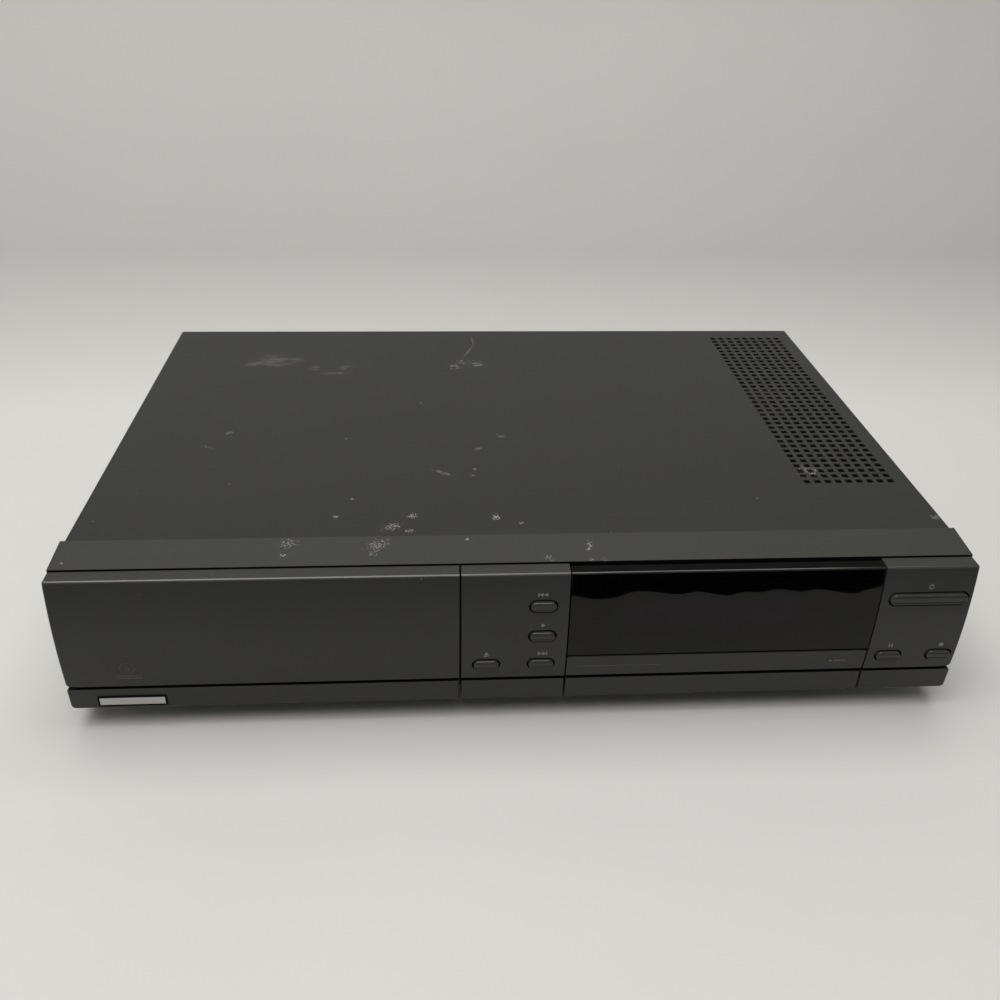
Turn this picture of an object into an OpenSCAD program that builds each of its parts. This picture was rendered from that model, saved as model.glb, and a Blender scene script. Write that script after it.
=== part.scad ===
// Front-loading disc player with a motor-driven tray, a display window and a hinged socket flap.
// The origin is on the table, under the middle of the player. +Y points to the back, +Z up.

/* [Case] */
// Width of the front moulding, the widest piece
body_w = 420; // [405:1:450]
// Height from the table to the top of the cover
body_h = 86; // [84:0.5:100]
// Depth of the cover, from the front flange to its rear edge
cover_d = 260; // [245:1:300]
// How far each side of the cover lies inside the front moulding
cover_inset = 1.5; // [1.4:0.1:2.5]
// Thickness of the sheet steel
sheet_t = 1; // [0.8:0.1:1.2]
// Outer bend radius at the cover's top edges
bend_r = 1.6; // [1.3:0.1:3]
// Gap between sheets that slide past each other
sheet_gap = 0.4; // [0.2:0.1:0.6]
// How far the rear panel lies inside the cover's rear edge
rear_inset = 2; // [1:0.5:4]
// Height of the cover's lower edge above the base pan's underside
cover_lift = 1.5; // [1:0.5:3]
// Height of the base pan's side walls
pan_wall_h = 17; // [14:1:24]
// Height of the lip that the rear of the cover folds down
rear_lip_h = 11; // [9:1:14]

/* [Cover vents] */
// Number of vent holes across
vent_cols = 9; // [4:1:12]
// Number of vent holes from front to back
vent_rows = 36; // [10:1:38]
// Spacing of the vent holes across
vent_pitch_x = 5.55; // [5:0.05:6]
// Spacing of the vent holes from front to back
vent_pitch_y = 5.68; // [5:0.02:5.8]
// Side of one square vent hole
vent_hole = 3.3; // [2:0.1:4]
// Distance of the outer column from the cover's right side
vent_side = 11.2; // [8:0.1:20]
// Distance of the last row from the cover's rear edge
vent_rear = 14.8; // [10:0.1:20]

/* [Feet] */
// Height of a foot under the base pan
foot_h = 13; // [11:0.5:15]
// Radius of a foot where it meets the base pan
foot_r = 14; // [11:0.5:18]
// How much smaller a foot's radius is on the table
foot_taper = 2; // [0:0.5:4]
// Distance of a foot's centre from the side of the case
foot_side = 45; // [30:1:60]
// Distance of the front feet behind the flange's rear edge
foot_front = 22; // [18:1:40]
// Distance of the rear feet before the cover's rear edge
foot_rear = 35; // [25:1:60]
// Radius of the pocket in a foot that takes its screw head
foot_pocket_r = 5; // [4.5:0.1:6]
// Height of that pocket
foot_pocket_h = 6; // [4:0.5:9]

/* [Front columns] */
// Depth of the sloping flange that runs along the top of the front
flange_d = 20.6; // [19:0.1:24]
// How much lower the flange is at its front edge
flange_fall = 1.9; // [0.5:0.1:3]
// Thickness of the flange
flange_t = 3; // [2:0.1:4]
// Width of the shadow groove between the flange and the front panels
groove_w = 1.4; // [1.2:0.1:2]
// Depth of the front panels, from that groove to the crest of the bulged face
panel_d = 9.2; // [9:0.1:11]
// How far the panels' top lies under the cover's top
panel_drop = 2.5; // [2:0.1:4]
// Radius of the bulge of the front face, seen from the side
front_r = 250; // [200:5:600]
// Height of the bulge's crest above the lower edge of the panels
crest_up = 24.9; // [20:0.1:30]
// Radius of the panels' top front edge
edge_r = 1.1; // [0.6:0.1:3]
// Wall thickness of the front mouldings
wall = 2.5; // [2:0.1:3]
// Width of the tray front
tray_front_w = 180.7; // [172:0.1:195]
// Gap between the tray front and the control column
column_gap = 0.9; // [0.6:0.1:1.5]
// Width of the control column
control_w = 49; // [47.5:0.5:56]
// Gap at each side of the window and the flap
window_gap = 0.6; // [0.5:0.1:1]
// Width of the power column at the right
power_col_w = 43.9; // [43.5:0.1:52]
// Thickness of the window
window_t = 2.5; // [2:0.1:3.5]
// Radius of the window's top front edge
window_edge_r = 0.9; // [0.5:0.1:2]

/* [Sill and flap] */
// How far the sill hangs below the base pan's underside
sill_drop = 1; // [0:0.1:2]
// Height of the sill under the long groove
sill_h = 11.5; // [10:0.1:12]
// How far the sill's face lies behind the crest of the front
sill_set = 1.3; // [0.8:0.1:2]
// Radius of the sill's lower front edge
sill_r = 1.5; // [1:0.1:2.5]
// Height of the long groove above the sill
groove_h = 1.6; // [1:0.1:2]
// Depth of the long groove
groove_d = 2.6; // [1.5:0.1:3]
// Height of the flap's upper strip
strip_h = 12; // [11:0.1:14]
// Gap between the flap and the window
flap_gap = 1; // [0.8:0.1:1.5]
// Thickness of the flap, from the crest to its flat back
flap_t = 5; // [4.6:0.1:5.4]
// Distance of the flap's hinge axis behind the crest
hinge_in = 6.2; // [6:0.1:6.6]
// Height of the hinge axis above the sill's lower edge
hinge_up = 3; // [2.8:0.1:3.4]
// Radius of the hinge pins
hinge_r = 1.5; // [1.2:0.1:1.8]
// Radial clearance of pins that turn
run_gap = 0.05; // [0.03:0.01:0.1]

/* [Buttons] */
// Width of the hole for a small button
button_w = 13.4; // [11:0.1:15]
// Height of the hole for a small button
button_h = 6.8; // [5:0.1:8]
// Distance of the power button's hole from its column's left side
power_left = 3.35; // [3:0.05:6]
// Distance of the power button's hole from the case's right side
power_right = 1.85; // [1.75:0.05:6]
// Height of the hole for the power button
power_h = 7.5; // [6:0.1:9]
// Gap around a button in its hole
button_gap = 0.85; // [0.3:0.05:1]
// How far the buttons stand out of the face
button_proud = 1.8; // [1.4:0.1:2.5]
// Travel of a small button
button_travel = 1; // [0.5:0.1:1.3]
// Travel of the power button
power_travel = 4; // [2.5:0.1:4.2]
// Height of the lowest row of buttons above the lower edge of the panels
row_up = 8.5; // [7.5:0.1:10]
// Distance of the top row of buttons below the top of the panels
top_in = 16.9; // [15:0.1:18]
// Distance of the transport buttons from the control column's right side
transport_in = 11.7; // [10:0.1:14]
// Distance of the open button from the control column's left side
open_in = 11.6; // [10:0.1:14]
// Distance of the pause button from the power column's left side
pause_in = 10.3; // [9.5:0.1:12]
// Distance of the stop button from the case's right side
stop_in = 8.8; // [8.7:0.1:12]

/* [Disc tray] */
// Travel of the tray
tray_travel = 145; // [125:1:150]
// Half the width of the tray's deck
tray_hw = 70; // [69:0.5:72]
// Radius of the well for a full-size disc
well_r = 61.5; // [60.5:0.1:62.5]
// Radius of the inner well for a small disc
small_well_r = 40.5; // [40.3:0.1:41]
// Depth of the inner well below the main well
small_well_d = 1; // [0.5:0.1:1.2]
// Depth of the main well below the deck's top
well_d = 5; // [4.5:0.1:6]
// Thickness of the tray's deck, floor and well wall
deck_t = 2.5; // [2.2:0.1:2.8]
// Height of the tray floor's upper face above the base pan's floor
tray_up = 34; // [33:0.1:36]
// Distance of the disc's centre behind the front frame's face
disc_setback = 66.6; // [66:0.1:70]
// Half the width of the slot for the turntable
slot_hw = 19; // [17:0.5:20]
// How far the slot widens to the left for the pickup
slot_left = 44; // [42:0.5:48]
// Gap between the tray and its guides
guide_gap = 0.4; // [0.2:0.1:0.6]

/* [Loader] */
// Thickness of the loader's side walls
loader_wall = 6; // [5:0.5:8]
// How far the deck's edge reaches into its guide groove
guide_in = 2.5; // [2:0.1:3]
// Free height between the tray's deck and the clamp bridge
bridge_clear = 4; // [3.5:0.1:6]
// Gear module
gear_m = 1; // [0.9:0.05:1.1]
// Teeth of the pinion that drives the rack
pinion_n = 18; // [17:1:20]
// Teeth of the wheel under that pinion
wheel_n = 28; // [24:2:28]
// Teeth of the gear on the belt pulley
belt_gear_n = 16; // [16:1:18]
// Radius of the large belt pulley
pulley_r = 12; // [10:0.5:13]
// Radius of the motor pulley
motor_pulley_r = 3.5; // [3:0.5:5]
// Side of the square belt
belt_t = 1.6; // [1.2:0.1:2]
// Gap between the belt and its pulleys
belt_gap = 0.3; // [0.2:0.05:0.5]
// Distance between the centres of the two pulleys
belt_span = 37; // [33:0.5:40]
// Distance of the rack's pitch line from the tray's centre
rack_x = 52; // [49:0.5:54]
// Tooth play, taken off each tooth at the pitch line
tooth_play = 0.14; // [0.1:0.01:0.2]
// Radius of the posts that the gears turn on
gear_post_r = 2; // [1.5:0.1:2.5]

/* [Disc drive] */
// How far the raised turntable's seat stands above the tray's deck
seat_over = 0.5; // [0.3:0.1:1.5]
// How far the lowered centring cone stays below the tray's floor
cone_clear = 0.5; // [0.3:0.1:1]
// Radius of the turntable
turntable_r = 15.5; // [14:0.1:16]
// Height of the centring cone
cone_h = 3; // [2:0.1:3.2]
// Radius of the centring cone at the seat
cone_r = 7.4; // [7:0.1:7.5]
// Radius of the spindle motor
spindle_motor_r = 14; // [12:0.5:14]
// Radius of the spindle
spindle_r = 1.5; // [1:0.1:2]
// Distance of the pickup arm's pivot from the spindle, and length of the arm
arm_l = 50; // [48:0.5:52]
// Distance of the lens from the spindle at the innermost track
lens_in = 23; // [22.5:0.1:25]
// Radius of the guide pins at the sides of the drive
guide_pin_r = 2; // [1.5:0.1:2.2]
// Half the width of the drive's base plate
drive_hw = 60; // [58:0.5:62]
// Radius of the clamp's lower part
clamp_r = 13; // [12:0.5:14]

/* [Boards and sockets] */
// Thickness of the circuit boards
board_t = 1.6; // [1:0.1:2]
// Height of the posts that carry the boards above the base pan's floor
board_post_h = 8; // [6:0.5:10]
// How far a phono socket stands out of the rear panel
jack_l = 9; // [7.5:0.1:10]
// Outer radius of a phono socket
jack_r = 4.15; // [4.1:0.05:4.2]
// Spacing of the phono sockets
jack_pitch = 14; // [14:0.5:18]
// Radius of the plug hole of a round control socket
din_r = 4.7; // [4.5:0.1:5]
// Radius of the headphone plug hole
phone_r = 3.2; // [3.1:0.05:3.3]

/* [Hidden] */
$fn = 64;
smooth_fn = 96;
bulge_fn = 720;
eps = 0.01;
front_grey = "#484846";
cover_grey = "#424240";

// Main lines of the case
half_w = body_w / 2;
cover_hw = half_w - cover_inset;
pan_hw = cover_hw - sheet_t - sheet_gap;
jack_out = jack_l - rear_inset;
face_d = flange_d + groove_w + panel_d;
flange_y = (face_d + button_proud - cover_d - jack_out) / 2;
frame_y = flange_y - flange_d;
panel_y = frame_y - groove_w;
face_y = panel_y - panel_d;
rear_y = flange_y + cover_d;
panel_out_y = rear_y - rear_inset;
panel_in_y = panel_out_y - sheet_t;
frame_t = 2.5;
frame_in_y = frame_y + frame_t;
pan_z = foot_h;
pan_floor_z = pan_z + sheet_t;
inside_top_z = body_h - sheet_t;

// Heights of the front
sill_z = pan_z - sill_drop;
sill_top_z = sill_z + sill_h;
panel_z = sill_top_z + groove_h;
panel_top_z = body_h - panel_drop;
crest_z = panel_z + crest_up;
flap_top_z = panel_z + strip_h;
window_z = flap_top_z + flap_gap;

// Column edges across the front
window_w = body_w - tray_front_w - column_gap - control_w - 2 * window_gap - power_col_w;
tray_right_x = -half_w + tray_front_w;
control_x0 = tray_right_x + column_gap;
control_x1 = control_x0 + control_w;
window_x0 = control_x1 + window_gap;
window_x1 = window_x0 + window_w;
power_x0 = window_x1 + window_gap;

// Button places
transport_x = control_x1 - transport_in;
open_x = control_x0 + open_in;
pause_x = power_x0 + pause_in;
stop_x = half_w - stop_in;
power_w = power_col_w - power_left - power_right;
power_x = power_x0 + power_left + power_w / 2;
low_row = panel_z + row_up;
top_row = panel_top_z - top_in;
mid_row = (low_row + top_row) / 2;
flange_clear = 0.3;
thin_end = 1.2;
button_flange_t = 1.2;
cap_step = 0.5;
dish_in = 1.1;
dish_d = 0.35;
button_flange_over = 1.2;
button_stem_r = 1.8;

// Flap hinge and the pocket behind the flap
hinge_y = face_y + hinge_in;
hinge_z = sill_z + hinge_up;
ear_r = 2.4;
ear_w = 3;
pin_l = 1.6;
pocket_wall = 2;
flap_back_gap = 0.8;
pocket_reach = 3.1;
ear_gap = 0.8;
ear_side = 1;
pocket_lap = 1;
pocket_y0 = face_y + flap_t + flap_back_gap;
pocket_back_y = frame_in_y + pocket_reach;
pocket_in_y = pocket_back_y + pocket_wall;
pocket_z0 = hinge_z + ear_r + ear_gap;
pocket_z1 = flap_top_z - pocket_lap;
pocket_x0 = window_x0 + ear_w + ear_side;
pocket_x1 = window_x1 - ear_w - ear_side;
pocket_mid_z = (pocket_z0 + pocket_z1) / 2;
phone_in = 22;
volume_in = 18;
phone_x = pocket_x0 + phone_in;
volume_x = pocket_x1 - volume_in;
control_socket_x = (phone_x + volume_x) / 2;
socket_wall = 1.4;
phone_wall = 2.2;
din_body_r = din_r + socket_wall;
phone_body_r = phone_r + phone_wall;
socket_gap = 0.2;
socket_nose = 0.8;
shaft_gap = 1.5;
knob_r = 6;
knob_l = 7;
pot_shaft_r = 1.5;
jack_depth = 14;
jack_half = 6.8;
pot_bore = 8;
shaft_end_gap = 0.5;

// Front board behind the panels
board_gap_y = 6;
front_board_y = frame_in_y + board_gap_y;
board_below = 6;
board_above = 12;
board_left = 2.8;
board_right = 6;
board_step = 2;
board_over_pocket = 3.5;
front_board_z0 = low_row - board_below;
front_board_z1 = top_row + board_above;
front_board_x0 = control_x0 + board_left;
front_board_x1 = half_w - board_right;
switch_body = 6;
switch_d = 3.5;
plunger_r = 1.7;
plunger_l = 1;
switch_tip_y = front_board_y - switch_d - plunger_l;
stem_gap = 0.1;
stem_end_y = switch_tip_y - button_travel - stem_gap;
rod_s = 6;
rod_y0 = frame_y;
mains_switch_back = 28;
mains_switch_y = flange_y + mains_switch_back;
mains_switch_d = 26;
mains_plunger_l = 3;
mains_switch_hw = 8;
mains_switch_below = 9;
mains_switch_above = 8;
mains_plunger_hw = 2;
rod_y1 = mains_switch_y - mains_plunger_l - power_travel - stem_gap;
rod_hole_gap = 1;

// Tray, loader and drive
tray_x = -half_w + tray_front_w / 2;
disc_y = frame_y + disc_setback;
floor_z = pan_floor_z + tray_up;
deck_z = floor_z + well_d;
deck_z0 = deck_z - deck_t;
floor_z0 = floor_z - deck_t;
well_wall = 2;
tray_lead = 4;
tray_y0 = panel_y - tray_lead;
plate_t = 2.5;
plate_hw = 66;
plate_drop = 10;
plate_rise = 9;
boss_x = 50;
boss_r = 3.5;
tail_side = 2;
tail_hw = rack_x - tail_side;
pilot_r = 1.5;
boss_below = 7;
boss_above = 6;
tray_boss_z = [deck_z0 - boss_below, deck_z + boss_above];
seat_z = floor_z - cone_clear - cone_h;
lift = deck_z + seat_over - seat_z;
loader_top = deck_z + bridge_clear;
loader_in = tray_hw - guide_in;
loader_out = loader_in + loader_wall;
loader_front_gap = 2.1;
gear_back = 18.1;
loader_y0 = frame_in_y + loader_front_gap;
gear_y = frame_in_y + gear_back;
pinion_r = gear_m * pinion_n / 2;
wheel_r = gear_m * wheel_n / 2;
belt_gear_r = gear_m * belt_gear_n / 2;
tooth_pitch = PI * gear_m;
rack_margin = 10;
rack_h = 5.5;
rack_z0 = floor_z0 - rack_h;
rack_back = 3.75;
rack_y0 = gear_y - rack_margin;
rack_y1 = gear_y + tray_travel + rack_margin;
rack_end = 1;
tail_gap = 2;
loader_end = 1;
tray_y1 = rack_y1 + rack_end;
tail_y = disc_y + well_r + well_wall + tail_gap;
loader_y1 = tray_y1 + loader_end;
gear_x = tray_x + rack_x - pinion_r;
belt_gear_x = gear_x - wheel_r - belt_gear_r;
motor_x = belt_gear_x - belt_span;
gear_top_gap = 0.5;
rack_gap = 0.3;
gear_step = 0.6;
mesh_over = 0.4;
pinion_z1 = floor_z0 - gear_top_gap;
pinion_z0 = rack_z0 + rack_gap;
wheel_h = 3.5;
wheel_z0 = pinion_z0 - gear_step - wheel_h;
belt_gear_z1 = wheel_z0 + wheel_h + mesh_over;
pulley_h = 5;
pulley_z1 = wheel_z0 - gear_step;
pulley_z0 = pulley_z1 - pulley_h;
belt_z = (pulley_z0 + pulley_z1) / 2;
bed_t = 2.5;
bed_z1 = pan_floor_z + bed_t;
motor_r = 12;
motor_gap = 1;
motor_shaft_r = 1;
motor_shaft_in = 5.5;
motor_top_z = pulley_z0 - motor_gap;
arm_in_angle = 2 * asin(lens_in / 2 / arm_l);
pivot_x = tray_x - arm_l;
lens_x = pivot_x + arm_l * cos(arm_in_angle);
lens_y = disc_y + arm_l * sin(arm_in_angle);
lens_holder_r = 6.3;
drive_t = 3;
seat_up = 17.5;
drive_z1 = seat_z - seat_up;
drive_z0 = drive_z1 - drive_t;
pin_z = (drive_z0 + drive_z1) / 2;
drive_front = 28;
drive_back = 75;
guide_front = 20;
guide_back = 50;
drive_y0 = disc_y - drive_front;
drive_y1 = disc_y + drive_back;
guide_y = [disc_y - guide_front, disc_y + guide_back];
motor_h = 11;
turntable_t = 4;
spindle_in = 2;
seat_skin = 0.5;
arm_up = 4;
arm_t = 4;
hub_over = 0.5;
pivot_over = 0.8;
lens_drop = 2.5;
lens_t = 1;
arm_z0 = drive_z1 + arm_up;
lens_z = seat_z - lens_drop;
cam_gap = 1.6;
cam_t = 3;
cam_x0 = drive_hw + cam_gap;
cam_x1 = cam_x0 + cam_t;
cam_run = 2 * lift;
cam_clear = 0.3;
cam_up = 3.5;
cam_over = 1;
cam_front = 38;
cam_back = 86;
slide_gap = 0.1;
cam_z0 = pan_floor_z + cam_up;
cam_z1 = pin_z + lift + guide_pin_r + cam_clear + cam_over;
cam_y0 = disc_y - cam_front;
cam_y1 = disc_y + cam_back;
ledge_z = cam_z0 - slide_gap;
pin_end = 2.5;
bridge_hw = 20;
bridge_t = 2;
bridge_z1 = loader_top + bridge_t;
clamp_over = 0.7;
clamp_z0 = deck_z + seat_over + clamp_over;
clamp_gap = 1;
clamp_lap = 2.5;
clamp_flange_t = 2;
recess_side = 1.6;
recess_over = 1;
clamp_recess_r = cone_r + recess_side;
clamp_recess_h = cone_h + recess_over;

// Boards
board_z = pan_floor_z + board_post_h;
board_top_z = board_z + board_t;
board_gap = 8;
board_wall_gap = 8;
board_rear_gap = 8;
main_left_of_power = 26;
main_front = 12;
psu_front = 62;
psu_rear_gap = 22;
main_x0 = tray_x + loader_out + board_gap;
main_x1 = power_x0 - main_left_of_power;
main_y0 = flange_y + main_front;
main_y1 = panel_in_y - board_rear_gap;
psu_x0 = main_x1 + board_gap;
psu_x1 = pan_hw - board_wall_gap;
psu_y0 = flange_y + psu_front;
psu_y1 = panel_in_y - psu_rear_gap;
psu_x = (psu_x0 + psu_x1) / 2;
post_in = 6;
post_r = 3.5;
main_posts = [for (x = [main_x0 + post_in, main_x1 - post_in])
              for (y = [main_y0 + post_in, main_y1 - post_in]) [x, y]];
psu_posts = [for (x = [psu_x0 + post_in, psu_x1 - post_in])
             for (y = [psu_y0 + post_in, psu_y1 - post_in]) [x, y]];
board_posts = concat(main_posts, psu_posts);

// Rear panel fittings
inlet_aside = 4;
inlet_up = 29;
inlet_x = psu_x + inlet_aside;
inlet_z = pan_floor_z + inlet_up;
inlet_w = 28;
inlet_h = 21;
jack_in = 20;
jack_x0 = main_x0 + jack_in;
socket_half = 7;
jack_z = board_top_z + socket_half;
jack_count = 4;
chip_h = 3.4;
rear_din_gap = 12;
rear_din_x = jack_x0 + jack_count * jack_pitch + rear_din_gap;
rear_din_nose = 0.6;
rear_din_d = 7;
jack_hole_gap = 0.5;
rear_din_pitch = 22;
cartridge_side = 24;
cartridge_up = 8;
cartridge_t = 1.5;
cartridge_x0 = -pan_hw + cartridge_side;
cartridge_w = 112;
cartridge_z0 = pan_z + cartridge_up;
cartridge_h = 34;
cartridge_lap = 5;

// Screws
screw_r = 1.4;
screw_hole_r = 1.6;
screw_head_r = 3.2;
screw_head_h = 1.1;
screw_l = 6;
cover_screw_front = 60;
cover_screw_rear = 40;
cover_screw_up = 9;
lip_screw_in = 40;
cartridge_screw_in = 4;
cover_screw_y = [flange_y + cover_screw_front, rear_y - cover_screw_rear];
cover_screw_z = pan_z + cover_screw_up;
lip_screw_x = [-pan_hw + lip_screw_in, 0, pan_hw - lip_screw_in];
lip_screw_z = inside_top_z - rear_lip_h / 2;
cartridge_screw_x = [cartridge_x0 + cartridge_screw_in, cartridge_x0 + cartridge_w - cartridge_screw_in];
cartridge_screw_z = cartridge_z0 + cartridge_h / 2;
foot_places = [for (x = [-1, 1])
               for (y = [flange_y + foot_front, rear_y - foot_rear]) [x * (half_w - foot_side), y]];
frame_boss_r = 2.5;
frame_boss_left = 9;
frame_boss_right = 10;
frame_boss_below = 7;
frame_boss_x = [control_x0 + frame_boss_left, half_w - frame_boss_right];
frame_boss_low_z = sill_z + sill_h / 2;
frame_boss_top_z = panel_top_z - frame_boss_below;
window_x = (window_x0 + window_x1) / 2;
frame_post_r = 3;
frame_post_left = 12;
frame_post_right = 16;
frame_open_over = 5.5;
frame_post_x = [control_x0 + frame_post_left, window_x, half_w - frame_post_right];
frame_post_z = front_board_z1 - frame_post_r;
frame_open_z1 = top_row + frame_open_over;

// Shared shapes
module block(x0, x1, y0, y1, z0, z1) {
  translate([x0, y0, z0]) cube([x1 - x0, y1 - y0, z1 - z0]);
}

module along_x(x0, x1) {
  translate([x0, 0, 0]) rotate([90, 0, 90]) linear_extrude(x1 - x0) children();
}

module along_y(y0, y1) {
  translate([0, y1, 0]) rotate([90, 0, 0]) linear_extrude(y1 - y0) children();
}

module along_z(z0, z1) {
  translate([0, 0, z0]) linear_extrude(z1 - z0) children();
}

module post(x, y, z0, z1, r) {
  translate([x, y, z0]) cylinder(r = r, h = z1 - z0, $fn = smooth_fn);
}

module bar_y(x, z, y0, y1, r) {
  translate([x, y1, z]) rotate([90, 0, 0]) cylinder(r = r, h = y1 - y0, $fn = smooth_fn);
}

module bar_x(y, z, x0, x1, r) {
  translate([x0, y, z]) rotate([0, 90, 0]) cylinder(r = r, h = x1 - x0, $fn = smooth_fn);
}

module pill(w, h) {
  square([w - h, h], center = true);
  for (s = [-1, 1]) translate([s * (w - h) / 2, 0]) circle(d = h, $fn = smooth_fn);
}

// Depth of the bulged face behind its crest at height z
function bulge(z) = front_r - sqrt(front_r * front_r - (z - crest_z) * (z - crest_z));

// Side outline of a front panel between two heights, with the top front edge rounded by r; inset thins it
module panel_side(z0, z1, r, inset) {
  big_r = front_r - inset;
  corner_z = z1 - r;
  corner_y = face_y + front_r - sqrt((big_r - r) * (big_r - r) - (corner_z - crest_z) * (corner_z - crest_z));
  away = [corner_y - face_y - front_r, corner_z - crest_z] / (big_r - r);
  difference() {
    intersection() {
      translate([face_y, z0]) square([panel_y - face_y, z1 - z0]);
      translate([face_y + front_r, crest_z]) circle(r = big_r, $fn = bulge_fn);
    }
    polygon([[corner_y, corner_z], [corner_y, z1 + 1], [corner_y - 3 * r, z1 + 1],
             [corner_y + 3 * r * away[0], corner_z + 3 * r * away[1]]]);
  }
  translate([corner_y, corner_z]) circle(r = r, $fn = smooth_fn);
}

// Side outline of the sill, with its lower front edge rounded
module sill_side(back_y) {
  y0 = face_y + sill_set;
  translate([y0, sill_z + sill_r]) square([back_y - y0, sill_h - sill_r]);
  translate([y0 + sill_r, sill_z]) square([back_y - y0 - sill_r, sill_h]);
  translate([y0 + sill_r, sill_z + sill_r]) circle(r = sill_r, $fn = smooth_fn);
}

// Hollow front column with the long groove, open at the back
module front_column(x0, x1, end0, end1) {
  core_y = face_y + sill_set + groove_d;
  difference() {
    union() {
      along_x(x0, x1) panel_side(panel_z, panel_top_z, edge_r, 0);
      along_x(x0, x1) sill_side(panel_y);
      block(x0 + groove_d, x1 - groove_d, core_y, panel_y, sill_top_z - 1, panel_z + 1);
    }
    along_x(x0 + end0, x1 - end1) panel_side(panel_z + wall, panel_top_z - wall, edge_r / 2, wall);
    block(x0 + end0, x1 - end1, panel_y - 0.6, panel_y + 1, panel_z + wall, panel_top_z - wall);
    block(x0 + end0, x1 - end1, face_y + sill_set + wall, panel_y + 1, sill_z + wall, sill_top_z - 1.5);
  }
}

module screw(head_r, head_h, shank_r, shank_l) {
  cylinder(r = head_r, h = head_h, $fn = smooth_fn);
  translate([0, 0, -shank_l]) cylinder(r = shank_r, h = shank_l + eps, $fn = 32);
}

// Involute gear outline
function involute(base, a) = base * [cos(a) + a * PI / 180 * sin(a), sin(a) - a * PI / 180 * cos(a)];
function spin(p, a) = [p[0] * cos(a) - p[1] * sin(a), p[0] * sin(a) + p[1] * cos(a)];
function unwrap(base, r) = r <= base ? 0 : sqrt(r * r / base / base - 1) * 180 / PI;
function polar(a) = a - atan(a * PI / 180);
function flank(n, m, steps) =
  let (pitch = m * n / 2, base = pitch * cos(20), tip = pitch + 0.9 * m, root = pitch - 1.25 * m)
  let (low = max(base, root), half = 90 / n - tooth_play / pitch * 90 / PI)
  let (turn = half + (unwrap(base, pitch) - atan(unwrap(base, pitch) * PI / 180)))
  concat([spin([root, 0], -turn)],
         [for (i = [0 : steps]) spin(involute(base, unwrap(base, low + (tip - low) * i / steps)), -turn)]);
function mirrored(points) = [for (i = [len(points) - 1 : -1 : 0]) [points[i][0], -points[i][1]]];
function gear_outline(n, m) =
  let (side = flank(n, m, 5), tooth = concat(side, mirrored(side)))
  [for (k = [0 : n - 1]) for (p = tooth) spin(p, 360 * k / n)];

// Side outline of one rack tooth pointing to -X, centred on the pitch line
module rack_tooth() {
  half = tooth_pitch / 4 - tooth_play / 2;
  add = 0.9 * gear_m;
  ded = 1.25 * gear_m + 0.5;
  lean = tan(20);
  polygon([[-add, -(half - add * lean)], [ded, -(half + ded * lean)],
           [ded, half + ded * lean], [-add, half - add * lean]]);
}

// Case
module base_pan() {
  slot_w = 3;
  slot_l = 40;
  slot_pitch = 7;
  slot_count = 6;
  slot_in = 60;
  lip_h = 2.4;
  color("#8f9294") difference() {
    union() {
      block(-pan_hw, pan_hw, frame_in_y, panel_in_y, pan_z, pan_floor_z);
      block(-pan_hw, pan_hw, frame_in_y, frame_in_y + sheet_t, pan_z, pan_z + lip_h);
      for (s = [0, 1]) mirror([s, 0, 0])
        block(pan_hw - sheet_t, pan_hw, flange_y + 1, panel_in_y, pan_z, pan_z + pan_wall_h);
      for (p = board_posts) post(p[0], p[1], pan_z + sheet_t / 2, board_z, post_r);
    }
    for (p = foot_places) post(p[0], p[1], pan_z - 1, pan_floor_z + 1, screw_hole_r);
    for (p = board_posts) post(p[0], p[1], pan_z - 1, board_z + 1, screw_hole_r);
    for (s = [-1, 1]) for (y = cover_screw_y)
      bar_x(y, cover_screw_z, s * pan_hw - 2, s * pan_hw + 2, screw_hole_r);
    for (i = [0 : slot_count - 1])
      block(main_x1 - slot_in - i * slot_pitch - slot_w, main_x1 - slot_in - i * slot_pitch,
            main_y0 + slot_in, main_y0 + slot_in + slot_l, pan_z - 1, pan_floor_z + 1);
  }
}

module feet() {
  color("#1b1b1b") for (p = foot_places) translate([p[0], p[1], 0]) difference() {
    cylinder(r1 = foot_r - foot_taper, r2 = foot_r, h = foot_h, $fn = smooth_fn);
    translate([0, 0, -1]) cylinder(r = foot_pocket_r, h = foot_pocket_h + 1, $fn = smooth_fn);
    cylinder(r = screw_hole_r, h = foot_h + 1, $fn = smooth_fn);
  }
}

module foot_screws() {
  head_h = 2;
  past = 2;
  color("#b5b5b0") for (p = foot_places) translate([p[0], p[1], foot_pocket_h]) rotate([180, 0, 0])
    screw(screw_head_r, head_h, screw_r, foot_h - foot_pocket_h + sheet_t + past);
}

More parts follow.
